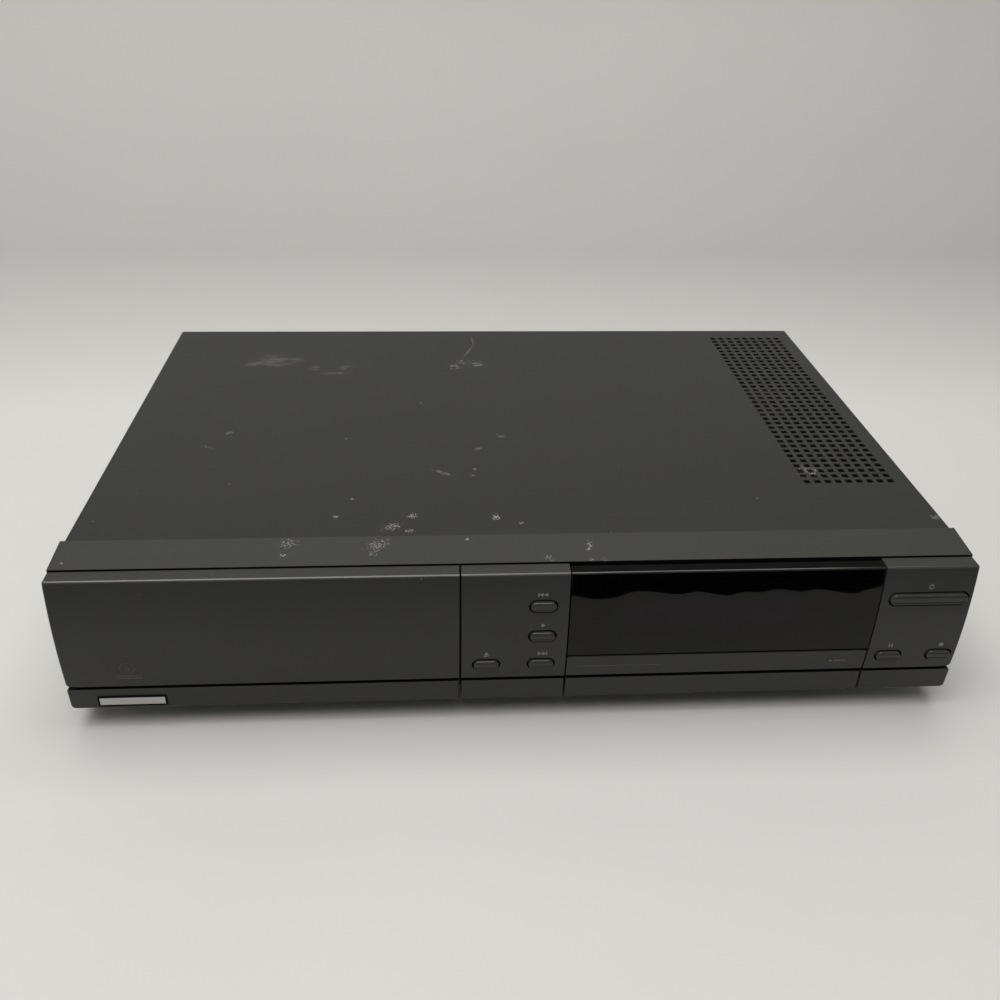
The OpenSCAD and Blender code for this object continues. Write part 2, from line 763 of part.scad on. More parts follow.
module rear_panel() {
  top_gap = 0.2;
  open_x0 = cartridge_x0 + cartridge_lap;
  open_x1 = cartridge_x0 + cartridge_w - cartridge_lap;
  color("#3c3c3b") difference() {
    block(-pan_hw, pan_hw, panel_in_y, panel_out_y, pan_z, inside_top_z - top_gap);
    block(inlet_x - inlet_w / 2, inlet_x + inlet_w / 2, panel_in_y - 1, panel_out_y + 1,
          inlet_z - inlet_h / 2, inlet_z + inlet_h / 2);
    block(open_x0, open_x1, panel_in_y - 1, panel_out_y + 1,
          cartridge_z0 + cartridge_lap, cartridge_z0 + cartridge_h - cartridge_lap);
    for (i = [0 : jack_count - 1])
      bar_y(jack_x0 + i * jack_pitch, jack_z, panel_in_y - 1, panel_out_y + 1, jack_r + jack_hole_gap);
    for (i = [0, 1])
      bar_y(rear_din_x + i * rear_din_pitch, jack_z, panel_in_y - 1, panel_out_y + 1, din_body_r + socket_gap);
    for (x = lip_screw_x) bar_y(x, lip_screw_z, panel_in_y - 1, panel_out_y + 1, screw_hole_r);
    for (x = cartridge_screw_x) bar_y(x, cartridge_screw_z, panel_in_y - 1, panel_out_y + 1, screw_hole_r);
  }
}

// Cover outline seen from the front, with bent top edges; inset thins it
module cover_outline(inset) {
  hw = cover_hw - inset;
  top = body_h - inset;
  bottom = pan_z + cover_lift - (inset > 0 ? 1 : 0);
  r = bend_r - inset;
  translate([-hw, bottom]) square([2 * hw, top - r - bottom]);
  translate([-hw + r, bottom]) square([2 * hw - 2 * r, top - bottom]);
  for (s = [-1, 1]) translate([s * (hw - r), top - r]) circle(r = r, $fn = smooth_fn);
}

module top_cover() {
  vent_x = cover_hw - vent_side;
  vent_y = rear_y - vent_rear;
  color(cover_grey) difference() {
    union() {
      along_y(flange_y, rear_y) difference() {
        cover_outline(0);
        cover_outline(sheet_t);
      }
      block(-cover_hw + sheet_t + sheet_gap, cover_hw - sheet_t - sheet_gap, rear_y - sheet_t, rear_y,
            inside_top_z - rear_lip_h, inside_top_z + sheet_t / 2);
    }
    for (i = [0 : vent_cols - 1]) for (j = [0 : vent_rows - 1])
      translate([vent_x - i * vent_pitch_x, vent_y - j * vent_pitch_y, body_h])
        cube([vent_hole, vent_hole, 3 * sheet_t], center = true);
    for (s = [-1, 1]) for (y = cover_screw_y)
      bar_x(y, cover_screw_z, s * cover_hw - 2, s * cover_hw + 2, screw_hole_r);
    for (x = lip_screw_x) bar_y(x, lip_screw_z, rear_y - 2, rear_y + 1, screw_hole_r);
  }
}

module cover_screws() {
  color("#2b2b2b") {
    for (s = [-1, 1]) for (y = cover_screw_y) translate([s * cover_hw, y, cover_screw_z])
      rotate([0, s * 90, 0]) screw(screw_head_r, screw_head_h, screw_r, screw_l);
    for (x = lip_screw_x) translate([x, rear_y, lip_screw_z]) rotate([-90, 0, 0])
      screw(screw_head_r, screw_head_h, screw_r, screw_l);
    for (x = cartridge_screw_x) translate([x, panel_out_y + cartridge_t, cartridge_screw_z]) rotate([-90, 0, 0])
      screw(screw_head_r, screw_head_h, screw_r, screw_l);
  }
}

module cartridge_cover() {
  color("#3c3c3b") difference() {
    block(cartridge_x0, cartridge_x0 + cartridge_w, panel_out_y, panel_out_y + cartridge_t,
          cartridge_z0, cartridge_z0 + cartridge_h);
    for (x = cartridge_screw_x) bar_y(x, cartridge_screw_z, panel_out_y - 1, panel_out_y + 3, screw_hole_r);
  }
}

// Front mouldings
module front_frame() {
  flange_z = body_h - flange_fall;
  tongue_d = 6;
  tongue_t = 2;
  tongue_z1 = inside_top_z - slide_gap;
  passage_side = 1.5;
  passage_over = 2;
  passage_x = tray_hw + passage_side;
  pocket_side = 2;
  pocket_over = 4;
  color(front_grey) difference() {
    union() {
      along_x(-half_w, half_w) polygon([[frame_y, flange_z], [flange_y, body_h],
                                        [flange_y, body_h - flange_t], [frame_y, flange_z - flange_t]]);
      block(-pan_hw + bend_r, pan_hw - bend_r, flange_y - 1, flange_y + tongue_d, tongue_z1 - tongue_t, tongue_z1);
      for (s = [0, 1]) mirror([s, 0, 0])
        block(half_w - wall, half_w, frame_y, flange_y, pan_z, flange_z - flange_t / 2);
      block(-half_w + 1, half_w - 1, frame_y, frame_in_y, pan_z, flange_z - flange_t / 2);
      for (x = frame_post_x) bar_y(x, frame_post_z, frame_in_y - 1, front_board_y, frame_post_r);
    }
    block(tray_x - passage_x, tray_x + passage_x, frame_y - 1, frame_in_y + 1,
          rack_z0 - passage_side, deck_z + passage_over);
    block(front_board_x0, front_board_x1, frame_y - 1, frame_in_y + 1, front_board_z0, frame_open_z1);
    block(control_x1 - pocket_side, power_x0 + pocket_side, frame_y - 1, frame_in_y + 1,
          pocket_z0 - 1, pocket_z1 + pocket_over);
  }
}

module front_panel() {
  web_t = 2;
  web_z1 = panel_top_z - window_t - slide_gap;
  color(front_grey) difference() {
    union() {
      front_column(control_x0, control_x1, wall, wall);
      front_column(power_x0, half_w, wall, thin_end);
      difference() {
        block(control_x1 - 1, power_x0 + 1, pocket_y0, pocket_in_y, pocket_z0, pocket_z1);
        block(pocket_x0, pocket_x1, pocket_y0 - 1, pocket_back_y, pocket_z0 + pocket_wall, pocket_z1 - pocket_wall);
      }
      block(control_x1 - 1, power_x0 + 1, panel_y - web_t, panel_y, web_z1 - web_t, web_z1);
      block(control_x1 - 1, power_x0 + 1, panel_y - 2 * web_t, panel_y, pocket_z1 - 1, flap_top_z + flap_gap);
      for (x = frame_boss_x) {
        bar_y(x, frame_boss_low_z, face_y + sill_set + wall / 2, frame_y, frame_boss_r);
        bar_y(x, frame_boss_top_z, face_y + bulge(frame_boss_top_z) + wall / 2, frame_y, frame_boss_r);
      }
    }
    for (z = [low_row, mid_row, top_row])
      translate([transport_x, 0, z]) along_y(face_y - 1, panel_y) pill(button_w, button_h);
    translate([open_x, 0, low_row]) along_y(face_y - 1, panel_y) pill(button_w, button_h);
    for (x = [pause_x, stop_x]) translate([x, 0, low_row]) along_y(face_y - 1, panel_y) pill(button_w, button_h);
    translate([power_x, 0, top_row]) along_y(face_y - 1, panel_y) pill(power_w, power_h);
    bar_x(hinge_y, hinge_z, control_x1 - wall - 1, control_x1 + 1, hinge_r + run_gap);
    bar_x(hinge_y, hinge_z, power_x0 - 1, power_x0 + wall + 1, hinge_r + run_gap);
    bar_y(phone_x, pocket_mid_z, pocket_back_y - 1, pocket_in_y + 1, phone_body_r + socket_gap);
    bar_y(control_socket_x, pocket_mid_z, pocket_back_y - 1, pocket_in_y + 1, din_body_r + socket_gap);
    bar_y(volume_x, pocket_mid_z, pocket_back_y - 1, pocket_in_y + 1, pot_shaft_r + shaft_gap);
  }
}

module display_window() {
  back_in = 1.2;
  color("#0c0b0d") along_x(window_x0, window_x1) difference() {
    panel_side(window_z, panel_top_z, window_edge_r, 0);
    panel_side(window_z - 2, panel_top_z - window_t, window_edge_r, window_t);
    translate([panel_y - back_in, window_z - 2]) square([2 * back_in, panel_top_z - window_t - window_z + 2]);
  }
}

module socket_flap() {
  core_y = face_y + sill_set + groove_d;
  back_y = face_y + flap_t;
  top_r = 0.8;
  x0 = window_x0;
  x1 = window_x1;
  color(front_grey) difference() {
    union() {
      along_x(x0, x1) difference() {
        panel_side(panel_z, flap_top_z, top_r, 0);
        translate([back_y, panel_z - 1]) square([panel_d, strip_h + 2]);
      }
      along_x(x0, x1) sill_side(back_y);
      block(x0, x1, core_y, back_y, sill_top_z - 1, panel_z + 1);
      for (x = [x0, x1 - ear_w]) {
        bar_x(hinge_y, hinge_z, x, x + ear_w, ear_r);
        block(x, x + ear_w, back_y - 1, hinge_y, hinge_z - ear_r, hinge_z + ear_r);
      }
      bar_x(hinge_y, hinge_z, x0 - window_gap - pin_l, x0 + 1, hinge_r);
      bar_x(hinge_y, hinge_z, x1 - 1, x1 + window_gap + pin_l, hinge_r);
    }
  }
}

// Push button: a pill cap with a stepped rim and a dished face, a flange behind the panel and a stem
module button_body(x, z, w, h, end_y) {
  skin_y = face_y + bulge(z);
  tip_y = skin_y - button_proud;
  reach = h / 2 + button_flange_over;
  cap_w = w - 2 * button_gap;
  cap_h = h - 2 * button_gap;
  back_y = face_y + max(bulge(z - reach), bulge(z + reach)) + wall + flange_clear + stem_gap * 2;
  translate([x, 0, z]) {
    difference() {
      union() {
        along_y(tip_y + cap_step, back_y + button_flange_t) pill(cap_w, cap_h);
        along_y(tip_y, tip_y + 2 * cap_step) pill(cap_w - 2 * cap_step, cap_h - 2 * cap_step);
      }
      along_y(tip_y - 1, tip_y + dish_d) pill(cap_w - 2 * dish_in, cap_h - 2 * dish_in);
    }
    along_y(back_y, back_y + button_flange_t) square([w - h, h + 2 * button_flange_over], center = true);
    bar_y(0, 0, back_y, end_y, button_stem_r);
  }
}

module previous_button() { color("#3f3f3e") button_body(transport_x, top_row, button_w, button_h, stem_end_y); }
module play_button() { color("#3f3f3e") button_body(transport_x, mid_row, button_w, button_h, stem_end_y); }
module next_button() { color("#3f3f3e") button_body(transport_x, low_row, button_w, button_h, stem_end_y); }
module open_button() { color("#3f3f3e") button_body(open_x, low_row, button_w, button_h, stem_end_y); }
module pause_button() { color("#3f3f3e") button_body(pause_x, low_row, button_w, button_h, stem_end_y); }
module stop_button() { color("#3f3f3e") button_body(stop_x, low_row, button_w, button_h, stem_end_y); }
module power_button() { color("#3f3f3e") button_body(power_x, top_row, power_w, power_h, rod_y0); }

module power_rod() {
  color("#d8d4c8") block(power_x - rod_s / 2, power_x + rod_s / 2, rod_y0, rod_y1,
                         top_row - rod_s / 2, top_row + rod_s / 2);
}

// Boards behind the front
module front_board() {
  upper_z0 = pocket_z1 + board_over_pocket;
  lower_h = upper_z0 - front_board_z0 + 1;
  hole_s = rod_s + 2 * rod_hole_gap;
  color("#7a5a2c") along_y(front_board_y, front_board_y + board_t) difference() {
    union() {
      translate([front_board_x0, upper_z0]) square([front_board_x1 - front_board_x0, front_board_z1 - upper_z0]);
      translate([front_board_x0, front_board_z0]) square([control_x1 - board_step - front_board_x0, lower_h]);
      translate([power_x0 + board_step, front_board_z0]) square([front_board_x1 - power_x0 - board_step, lower_h]);
    }
    translate([power_x, top_row]) square([hole_s, hole_s], center = true);
  }
}

module tact_switch(x, z) {
  block(x - switch_body / 2, x + switch_body / 2, front_board_y - switch_d, front_board_y,
        z - switch_body / 2, z + switch_body / 2);
  bar_y(x, z, switch_tip_y, front_board_y - switch_d + 0.5, plunger_r);
}

module tact_switches() {
  color("#25282b") {
    for (z = [low_row, mid_row, top_row]) tact_switch(transport_x, z);
    for (x = [open_x, pause_x, stop_x]) tact_switch(x, low_row);
  }
}

module display_tube() {
  tube_side = 24;
  tube_d = 8;
  tube_up = 10.7;
  tube_below = 3.3;
  color("#20302c") block(window_x0 + tube_side, window_x1 - tube_side, front_board_y - tube_d, front_board_y,
                         window_z + tube_up, frame_open_z1 - tube_below);
}

module headphone_jack() {
  end_t = 2;
  color("#1d1d1f") difference() {
    union() {
      block(phone_x - jack_half, phone_x + jack_half, pocket_in_y, pocket_in_y + jack_depth,
            pocket_mid_z - jack_half, pocket_mid_z + jack_half);
      bar_y(phone_x, pocket_mid_z, pocket_back_y - socket_nose, pocket_in_y + 1, phone_body_r);
    }
    bar_y(phone_x, pocket_mid_z, pocket_back_y - 2, pocket_in_y + jack_depth - end_t, phone_r);
  }
}

module front_control_socket() {
  plug_in = 6;
  color("#1d1d1f") difference() {
    union() {
      block(control_socket_x - jack_half, control_socket_x + jack_half, pocket_in_y, pocket_in_y + jack_depth,
            pocket_mid_z - jack_half, pocket_mid_z + jack_half);
      bar_y(control_socket_x, pocket_mid_z, pocket_back_y - socket_nose, pocket_in_y + 1, din_body_r);
    }
    bar_y(control_socket_x, pocket_mid_z, pocket_back_y - 2, pocket_in_y + plug_in, din_r);
  }
}

module volume_pot() {
  color("#5a6a78") difference() {
    block(volume_x - jack_half, volume_x + jack_half, pocket_in_y, pocket_in_y + jack_depth,
          pocket_mid_z - jack_half, pocket_mid_z + jack_half);
    bar_y(volume_x, pocket_mid_z, pocket_in_y - 1, pocket_in_y + pot_bore, pot_shaft_r + run_gap);
  }
}

module volume_knob() {
  mark_hw = 0.6;
  mark_d = 1;
  mark_in = 2;
  knob_y1 = pocket_back_y - socket_nose;
  tip_y = knob_y1 - knob_l;
  color("#3f3f3e") difference() {
    union() {
      bar_y(volume_x, pocket_mid_z, tip_y, knob_y1, knob_r);
      bar_y(volume_x, pocket_mid_z, knob_y1 - 1, pocket_in_y + pot_bore - shaft_end_gap, pot_shaft_r);
    }
    block(volume_x - mark_hw, volume_x + mark_hw, tip_y - 1, tip_y + mark_d,
          pocket_mid_z + mark_in, pocket_mid_z + knob_r + 1);
  }
}

module socket_board() {
  past = 12;
  below = 1;
  above = 2;
  y0 = pocket_in_y + jack_depth;
  color("#7a5a2c") block(phone_x - past, volume_x + past, y0, y0 + board_t, pocket_z0 + below, pocket_z1 + above);
}

// Boards in the case
module holed_board(x0, x1, y0, y1, posts) {
  difference() {
    block(x0, x1, y0, y1, board_z, board_top_z);
    for (p = posts) post(p[0], p[1], board_z - 1, board_top_z + 1, screw_hole_r);
  }
}

module main_board() { color("#2f5a35") holed_board(main_x0, main_x1, main_y0, main_y1, main_posts); }
module power_board() { color("#7a5a2c") holed_board(psu_x0, psu_x1, psu_y0, psu_y1, psu_posts); }

module board_screws() {
  color("#b5b5b0") for (p = board_posts) translate([p[0], p[1], board_top_z])
    screw(screw_head_r, 1.5 * screw_head_h, screw_r, screw_l);
}

// A chip body placed from the main board's front left corner
module chip(dx, dy, w, d) {
  translate([main_x0 + dx, main_y0 + dy, board_top_z]) cube([w, d, chip_h]);
}

module main_chips() {
  large = 28;
  medium = 20;
  slim = 9;
  slim_d = 18;
  slim_pitch = 16;
  wide = 40;
  wide_d = 14;
  wide_pitch = 24;
  left_in = 30;
  right_in = 18;
  front_in = 30;
  row_gap = 36;
  large_in = 62;
  medium_in = large_in + 2 * row_gap;
  slim_in = 20;
  main_w = main_x1 - main_x0;
  slim_n = floor((main_w - 2 * slim_in - slim) / slim_pitch) + 1;
  color("#17181a") {
    for (i = [0 : slim_n - 1]) chip(slim_in + i * slim_pitch, front_in, slim, slim_d);
    for (i = [0, 1]) chip(left_in, large_in + i * row_gap, large, large);
    for (i = [0, 1]) chip(left_in, medium_in + i * row_gap, medium, medium);
    for (i = [0 : 4]) chip(main_w - right_in - wide, large_in + i * wide_pitch, wide, wide_d);
  }
}

module mains_transformer() {
  core_w = 44;
  core_d = 18;
  core_h = 40;
  coil_w = 32;
  coil_d = 36;
  coil_drop = 6;
  rear_in = 34;
  mid_y = psu_y1 - rear_in;
  z0 = board_top_z;
  color("#6f6a60") {
    block(psu_x - core_w / 2, psu_x + core_w / 2, mid_y - core_d / 2, mid_y + core_d / 2, z0, z0 + core_h);
    block(psu_x - coil_w / 2, psu_x + coil_w / 2, mid_y - coil_d / 2, mid_y + coil_d / 2,
          z0, z0 + core_h - coil_drop);
  }
}

module power_capacitors() {
  large_r = 8;
  large_h = 28;
  large_pitch = 22;
  large_in = 92;
  small_r = 5;
  small_h = 20;
  small_pitch = 14;
  small_in = 70;
  color("#27344a") {
    for (i = [-1, 1]) post(psu_x + i * large_pitch / 2, psu_y0 + large_in, board_top_z, board_top_z + large_h, large_r);
    for (i = [-1 : 1]) post(psu_x + i * small_pitch, psu_y0 + small_in, board_top_z, board_top_z + small_h, small_r);
  }
}

module heat_sink() {
  sink_l = 40;
  sink_h = 34;
  sink_hw = 12;
  plate_w = 3;
  fin_t = 1.6;
  fin_count = 5;
  fin_pitch = 8;
  fin_in = 4;
  front_in = 18;
  x0 = psu_x - sink_hw;
  y0 = psu_y0 + front_in;
  z1 = board_top_z + sink_h;
  color("#a9adb0") {
    block(x0, x0 + plate_w, y0, y0 + sink_l, board_top_z, z1);
    for (i = [0 : fin_count - 1]) {
      fin_y = y0 + fin_in + i * fin_pitch;
      block(x0 + plate_w / 2, x0 + 2 * sink_hw, fin_y, fin_y + fin_t, board_top_z, z1);
    }
  }
}

module mains_switch() {
  hw = mains_switch_hw;
  plunger = mains_plunger_hw;
  color("#1f1f20") {
    block(power_x - hw, power_x + hw, mains_switch_y, mains_switch_y + mains_switch_d,
          top_row - mains_switch_below, top_row + mains_switch_above);
    block(power_x - plunger, power_x + plunger, mains_switch_y - mains_plunger_l, mains_switch_y + 1,
          top_row - plunger, top_row + plunger);
  }
}

module switch_bracket() {
  hw = mains_switch_hw;
  t = 1.5;
  z1 = top_row - mains_switch_below;
  y1 = mains_switch_y + mains_switch_d;
  color("#9a9d9f") {
    block(power_x - hw, power_x + hw, mains_switch_y, y1, z1 - t, z1);
    block(power_x - hw, power_x + hw, y1 - t, y1, pan_floor_z, z1);
    block(power_x - hw, power_x + hw, mains_switch_y, y1, pan_floor_z, pan_floor_z + t);
  }
}

// Rear sockets
module mains_inlet() {
  rim = 4;
  rim_t = 2.5;
  body_d = 20;
  hole_w = 24;
  hole_h = 16.6;
  hole_d = 15;
  blade_l = 8;
  blade_pitch = 7;
  blade_hw = 1;
  blade_h = 4;
  blade_rise = 1;
  fit = 0.2;
  tip_y = panel_out_y + rim_t;
  blade_y0 = tip_y - hole_d - 1;
  blade_y1 = tip_y - hole_d + blade_l;
  color("#141415") {
    difference() {
      union() {
        block(inlet_x - inlet_w / 2 - rim, inlet_x + inlet_w / 2 + rim, panel_out_y, tip_y,
              inlet_z - inlet_h / 2 - rim, inlet_z + inlet_h / 2 + rim);
        block(inlet_x - inlet_w / 2 + fit, inlet_x + inlet_w / 2 - fit, tip_y - body_d, tip_y,
              inlet_z - inlet_h / 2 + fit, inlet_z + inlet_h / 2 - fit);
      }
      block(inlet_x - hole_w / 2, inlet_x + hole_w / 2, tip_y - hole_d, tip_y + 1,
            inlet_z - hole_h / 2, inlet_z + hole_h / 2);
    }
    for (x = [inlet_x - blade_pitch, inlet_x + blade_pitch])
      block(x - blade_hw, x + blade_hw, blade_y0, blade_y1, inlet_z - blade_h, inlet_z);
    block(inlet_x - blade_hw, inlet_x + blade_hw, blade_y0, blade_y1,
          inlet_z + blade_rise, inlet_z + blade_rise + blade_h);
  }
}

module phono_sockets() {
  block_d = 12;
  neck = 0.3;
  neck_l = 0.5;
  hole_r = 1.6;
  hole_d = 8;
  x1 = jack_x0 + (jack_count - 1) * jack_pitch;
  tip_y = panel_out_y + jack_l;
  color("#c9b06a") difference() {
    union() {
      block(jack_x0 - socket_half, x1 + socket_half, panel_in_y - block_d, panel_in_y,
            jack_z - socket_half, jack_z + socket_half);
      for (i = [0 : jack_count - 1]) {
        bar_y(jack_x0 + i * jack_pitch, jack_z, panel_in_y - 1, panel_out_y + neck_l, jack_r + neck);
        bar_y(jack_x0 + i * jack_pitch, jack_z, panel_out_y, tip_y, jack_r);
      }
    }
    for (i = [0 : jack_count - 1]) bar_y(jack_x0 + i * jack_pitch, jack_z, tip_y - hole_d, tip_y + 1, hole_r);
  }
}

module rear_control_sockets() {
  block_d = 10;
  color("#1d1d1f") for (i = [0, 1]) translate([rear_din_x + i * rear_din_pitch, 0, 0]) difference() {
    union() {
      block(-socket_half, socket_half, panel_in_y - block_d, panel_in_y, jack_z - socket_half, jack_z + socket_half);
      bar_y(0, jack_z, panel_in_y - 1, panel_out_y + rear_din_nose, din_body_r);
    }
    bar_y(0, jack_z, panel_out_y - rear_din_d, panel_out_y + 2, din_r);
  }
}

// Loader
module loader_frame() {
  slot_r = guide_pin_r + cam_clear;
  shoulder_r = 4.5;
  seat_gap = 0.2;
  post_over = 0.4;
  bed_back = 15.5;
  bar_d = 8;
  slot_out = 3.5;
  slot_mid = loader_in + 0.5;
  color("#3a3d40") difference() {
    union() {
      for (s = [-1, 1]) {
        x0 = min(s * loader_in, s * loader_out);
        block(tray_x + x0, tray_x + x0 + loader_wall, loader_y0, loader_y1, pan_floor_z, loader_top);
        l0 = min(s * (cam_x0 - 1), s * (loader_in + 1));
        block(tray_x + l0, tray_x + l0 + loader_in + 2 - cam_x0, loader_y0, loader_y1, pan_floor_z, ledge_z);
      }
      block(tray_x - loader_in - 1, tray_x + loader_in + 1, loader_y0, gear_y + bed_back, pan_floor_z, bed_z1);
      block(tray_x - loader_in - 1, tray_x + loader_in + 1, loader_y1 - bar_d, loader_y1, pan_floor_z, bed_z1);
      post(gear_x, gear_y, bed_z1 - 1, wheel_z0 - seat_gap, shoulder_r);
      post(gear_x, gear_y, bed_z1 - 1, pinion_z1 - seat_gap, gear_post_r);
      post(belt_gear_x, gear_y, bed_z1 - 1, pulley_z0 - seat_gap, shoulder_r);
      post(belt_gear_x, gear_y, bed_z1 - 1, belt_gear_z1 + post_over, gear_post_r);
    }
    block(tray_x - tray_hw - guide_gap, tray_x + tray_hw + guide_gap, loader_y0 - 1, loader_y1 + 1,
          deck_z0 - guide_gap, deck_z + guide_gap);
    for (s = [-1, 1]) for (y = guide_y) translate([tray_x + s * slot_mid, 0, 0]) {
      block(-slot_out, slot_out, y - slot_r, y + slot_r, pin_z - slot_r, pin_z + lift + slot_r);
    }
  }
}

module loader_motor() {
  color("#a4a8ab") difference() {
    post(motor_x, gear_y, bed_z1, motor_top_z, motor_r);
    post(motor_x, gear_y, motor_top_z - motor_shaft_in - shaft_end_gap, motor_top_z + 1, motor_shaft_r + run_gap);
  }
}

// A grooved pulley whose belt seat has radius r
module pulley(r) {
  rim_over = 0.6;
  rim = belt_t + rim_over;
  rim_t = 1;
  translate([0, 0, pulley_z0]) cylinder(r = r + rim, h = rim_t, $fn = smooth_fn);
  translate([0, 0, pulley_z0]) cylinder(r = r, h = pulley_h, $fn = smooth_fn);
  translate([0, 0, pulley_z1 - rim_t]) cylinder(r = r + rim, h = rim_t, $fn = smooth_fn);
}

module motor_pulley() {
  color("#d8d4c8") translate([motor_x, gear_y, 0]) {
    pulley(motor_pulley_r);
    post(0, 0, motor_top_z - motor_shaft_in, pulley_z0 + 1, motor_shaft_r);
  }
}

module belt_gear() {
  color("#d8d4c8") translate([belt_gear_x, gear_y, 0]) difference() {
    union() {
      pulley(pulley_r);
      rotate([0, 0, 180 / belt_gear_n]) along_z(pulley_z1 - slide_gap, belt_gear_z1)
        polygon(gear_outline(belt_gear_n, gear_m));
    }
    post(0, 0, pulley_z0 - 1, belt_gear_z1 + 1, gear_post_r + run_gap);
  }
}

module drive_gear() {
  color("#d8d4c8") translate([gear_x, gear_y, 0]) difference() {
    union() {
      along_z(wheel_z0, wheel_z0 + wheel_h) polygon(gear_outline(wheel_n, gear_m));
      along_z(wheel_z0 + wheel_h - 0.1, pinion_z1) polygon(gear_outline(pinion_n, gear_m));
    }
    post(0, 0, wheel_z0 - 1, pinion_z1 + 1, gear_post_r + run_gap);
  }
}

// Loop around the two pulleys, grown by d
module belt_loop(d) {
  r1 = pulley_r + d;
  r2 = motor_pulley_r + d;
  nx = -(pulley_r - motor_pulley_r) / belt_span;
  ny = sqrt(1 - nx * nx);
  translate([belt_gear_x, gear_y]) circle(r = r1, $fn = smooth_fn);
  translate([motor_x, gear_y]) circle(r = r2, $fn = smooth_fn);
  polygon([[belt_gear_x + r1 * nx, gear_y + r1 * ny], [motor_x + r2 * nx, gear_y + r2 * ny],
           [motor_x + r2 * nx, gear_y - r2 * ny], [belt_gear_x + r1 * nx, gear_y - r1 * ny]]);
}

module loader_belt() {
  color("#161616") along_z(belt_z - belt_t / 2, belt_z + belt_t / 2) difference() {
    belt_loop(belt_gap + belt_t);
    belt_loop(belt_gap);
  }
}

module clamp_bridge() {
  rib_h = 3;
  rib_t = 1.5;
  color("#9a9d9f") difference() {
    union() {
      block(tray_x - loader_out, tray_x + loader_out, disc_y - bridge_hw, disc_y + bridge_hw, loader_top, bridge_z1);
      for (y = [disc_y - bridge_hw, disc_y + bridge_hw - rib_t])
        block(tray_x - loader_out, tray_x + loader_out, y, y + rib_t, loader_top, bridge_z1 + rib_h);
    }
    post(tray_x, disc_y, loader_top - 1, bridge_z1 + 1, clamp_r + clamp_gap);
  }
}

module clamp_puck() {
  color("#d8d4c8") difference() {
    union() {
      post(tray_x, disc_y, clamp_z0, bridge_z1 + 0.5, clamp_r);
      post(tray_x, disc_y, bridge_z1, bridge_z1 + clamp_flange_t, clamp_r + clamp_gap + clamp_lap);
    }
    post(tray_x, disc_y, clamp_z0 - 1, clamp_z0 + clamp_recess_h, clamp_recess_r);
  }
}

// Tray
module disc_tray() {
  slot_step = 24;
  x0 = tray_x + rack_x + 1.25 * gear_m;
  first = ceil((rack_y0 - gear_y) / tooth_pitch);
  last = floor((rack_y1 - gear_y) / tooth_pitch) - 1;
  color("#2e2e2f") difference() {
    union() {
      along_z(deck_z0, deck_z) translate([tray_x - tray_hw, tray_y0]) square([2 * tray_hw, tray_y1 - tray_y0]);
      post(tray_x, disc_y, floor_z0, deck_z0 + 0.5, well_r + well_wall);
      block(tray_x - plate_hw, tray_x + plate_hw, tray_y0, tray_y0 + plate_t,
            deck_z0 - plate_drop, deck_z + plate_rise);
      block(x0, x0 + rack_back, rack_y0, rack_y1, rack_z0, deck_z0 + 0.5);
      along_z(rack_z0, floor_z0 + 0.5) for (k = [first : last])
        translate([tray_x + rack_x, gear_y + (k + 0.5) * tooth_pitch]) rack_tooth();
    }
    post(tray_x, disc_y, floor_z, deck_z + 1, well_r);
    post(tray_x, disc_y, floor_z - small_well_d, deck_z + 1, small_well_r);
    post(tray_x, disc_y, floor_z0 - 1, deck_z + 1, slot_hw);
    block(tray_x - slot_hw, tray_x + slot_hw, disc_y, tray_y1 + 1, floor_z0 - 1, deck_z + 1);
    block(tray_x - slot_left, tray_x + slot_hw, disc_y + slot_step, tray_y1 + 1, floor_z0 - 1, deck_z + 1);
    block(tray_x - tail_hw, tray_x + tail_hw, tail_y, tray_y1 + 1, deck_z0 - 1, deck_z + 1);
    for (x = [-boss_x, boss_x]) for (z = tray_boss_z)
      bar_y(tray_x + x, z, tray_y0 - 1, tray_y0 + plate_t + 1, screw_hole_r);
  }
}

module tray_front() {
  pilot_d = 2.2;
  color(front_grey) difference() {
    union() {
      front_column(-half_w, tray_right_x, wall, wall);
      for (x = [-boss_x, boss_x]) for (z = tray_boss_z)
        bar_y(tray_x + x, z, face_y + bulge(z) + wall / 2, tray_y0, boss_r);
    }
    for (x = [-boss_x, boss_x]) for (z = tray_boss_z) bar_y(tray_x + x, z, tray_y0 - pilot_d, tray_y0 + 1, pilot_r);
  }
}

module tray_screws() {
  head_less = 0.4;
  head_h = 1;
  grip = 2;
  color("#b5b5b0") for (x = [-boss_x, boss_x]) for (z = tray_boss_z)
    translate([tray_x + x, tray_y0 + plate_t, z]) rotate([-90, 0, 0])
      screw(screw_head_r - head_less, head_h, screw_r, plate_t + grip);
}

module badge_plate() {
  badge_w = 31.6;
  badge_h = 5.8;
  badge_t = 0.5;
  badge_left = 13;
  badge_up = 0.2;
  x0 = -half_w + badge_left;
  z0 = sill_z + sill_r + badge_up;
  y1 = face_y + sill_set;
  color("#a3a3a1") block(x0, x0 + badge_w, y1 - badge_t, y1, z0, z0 + badge_h);
}

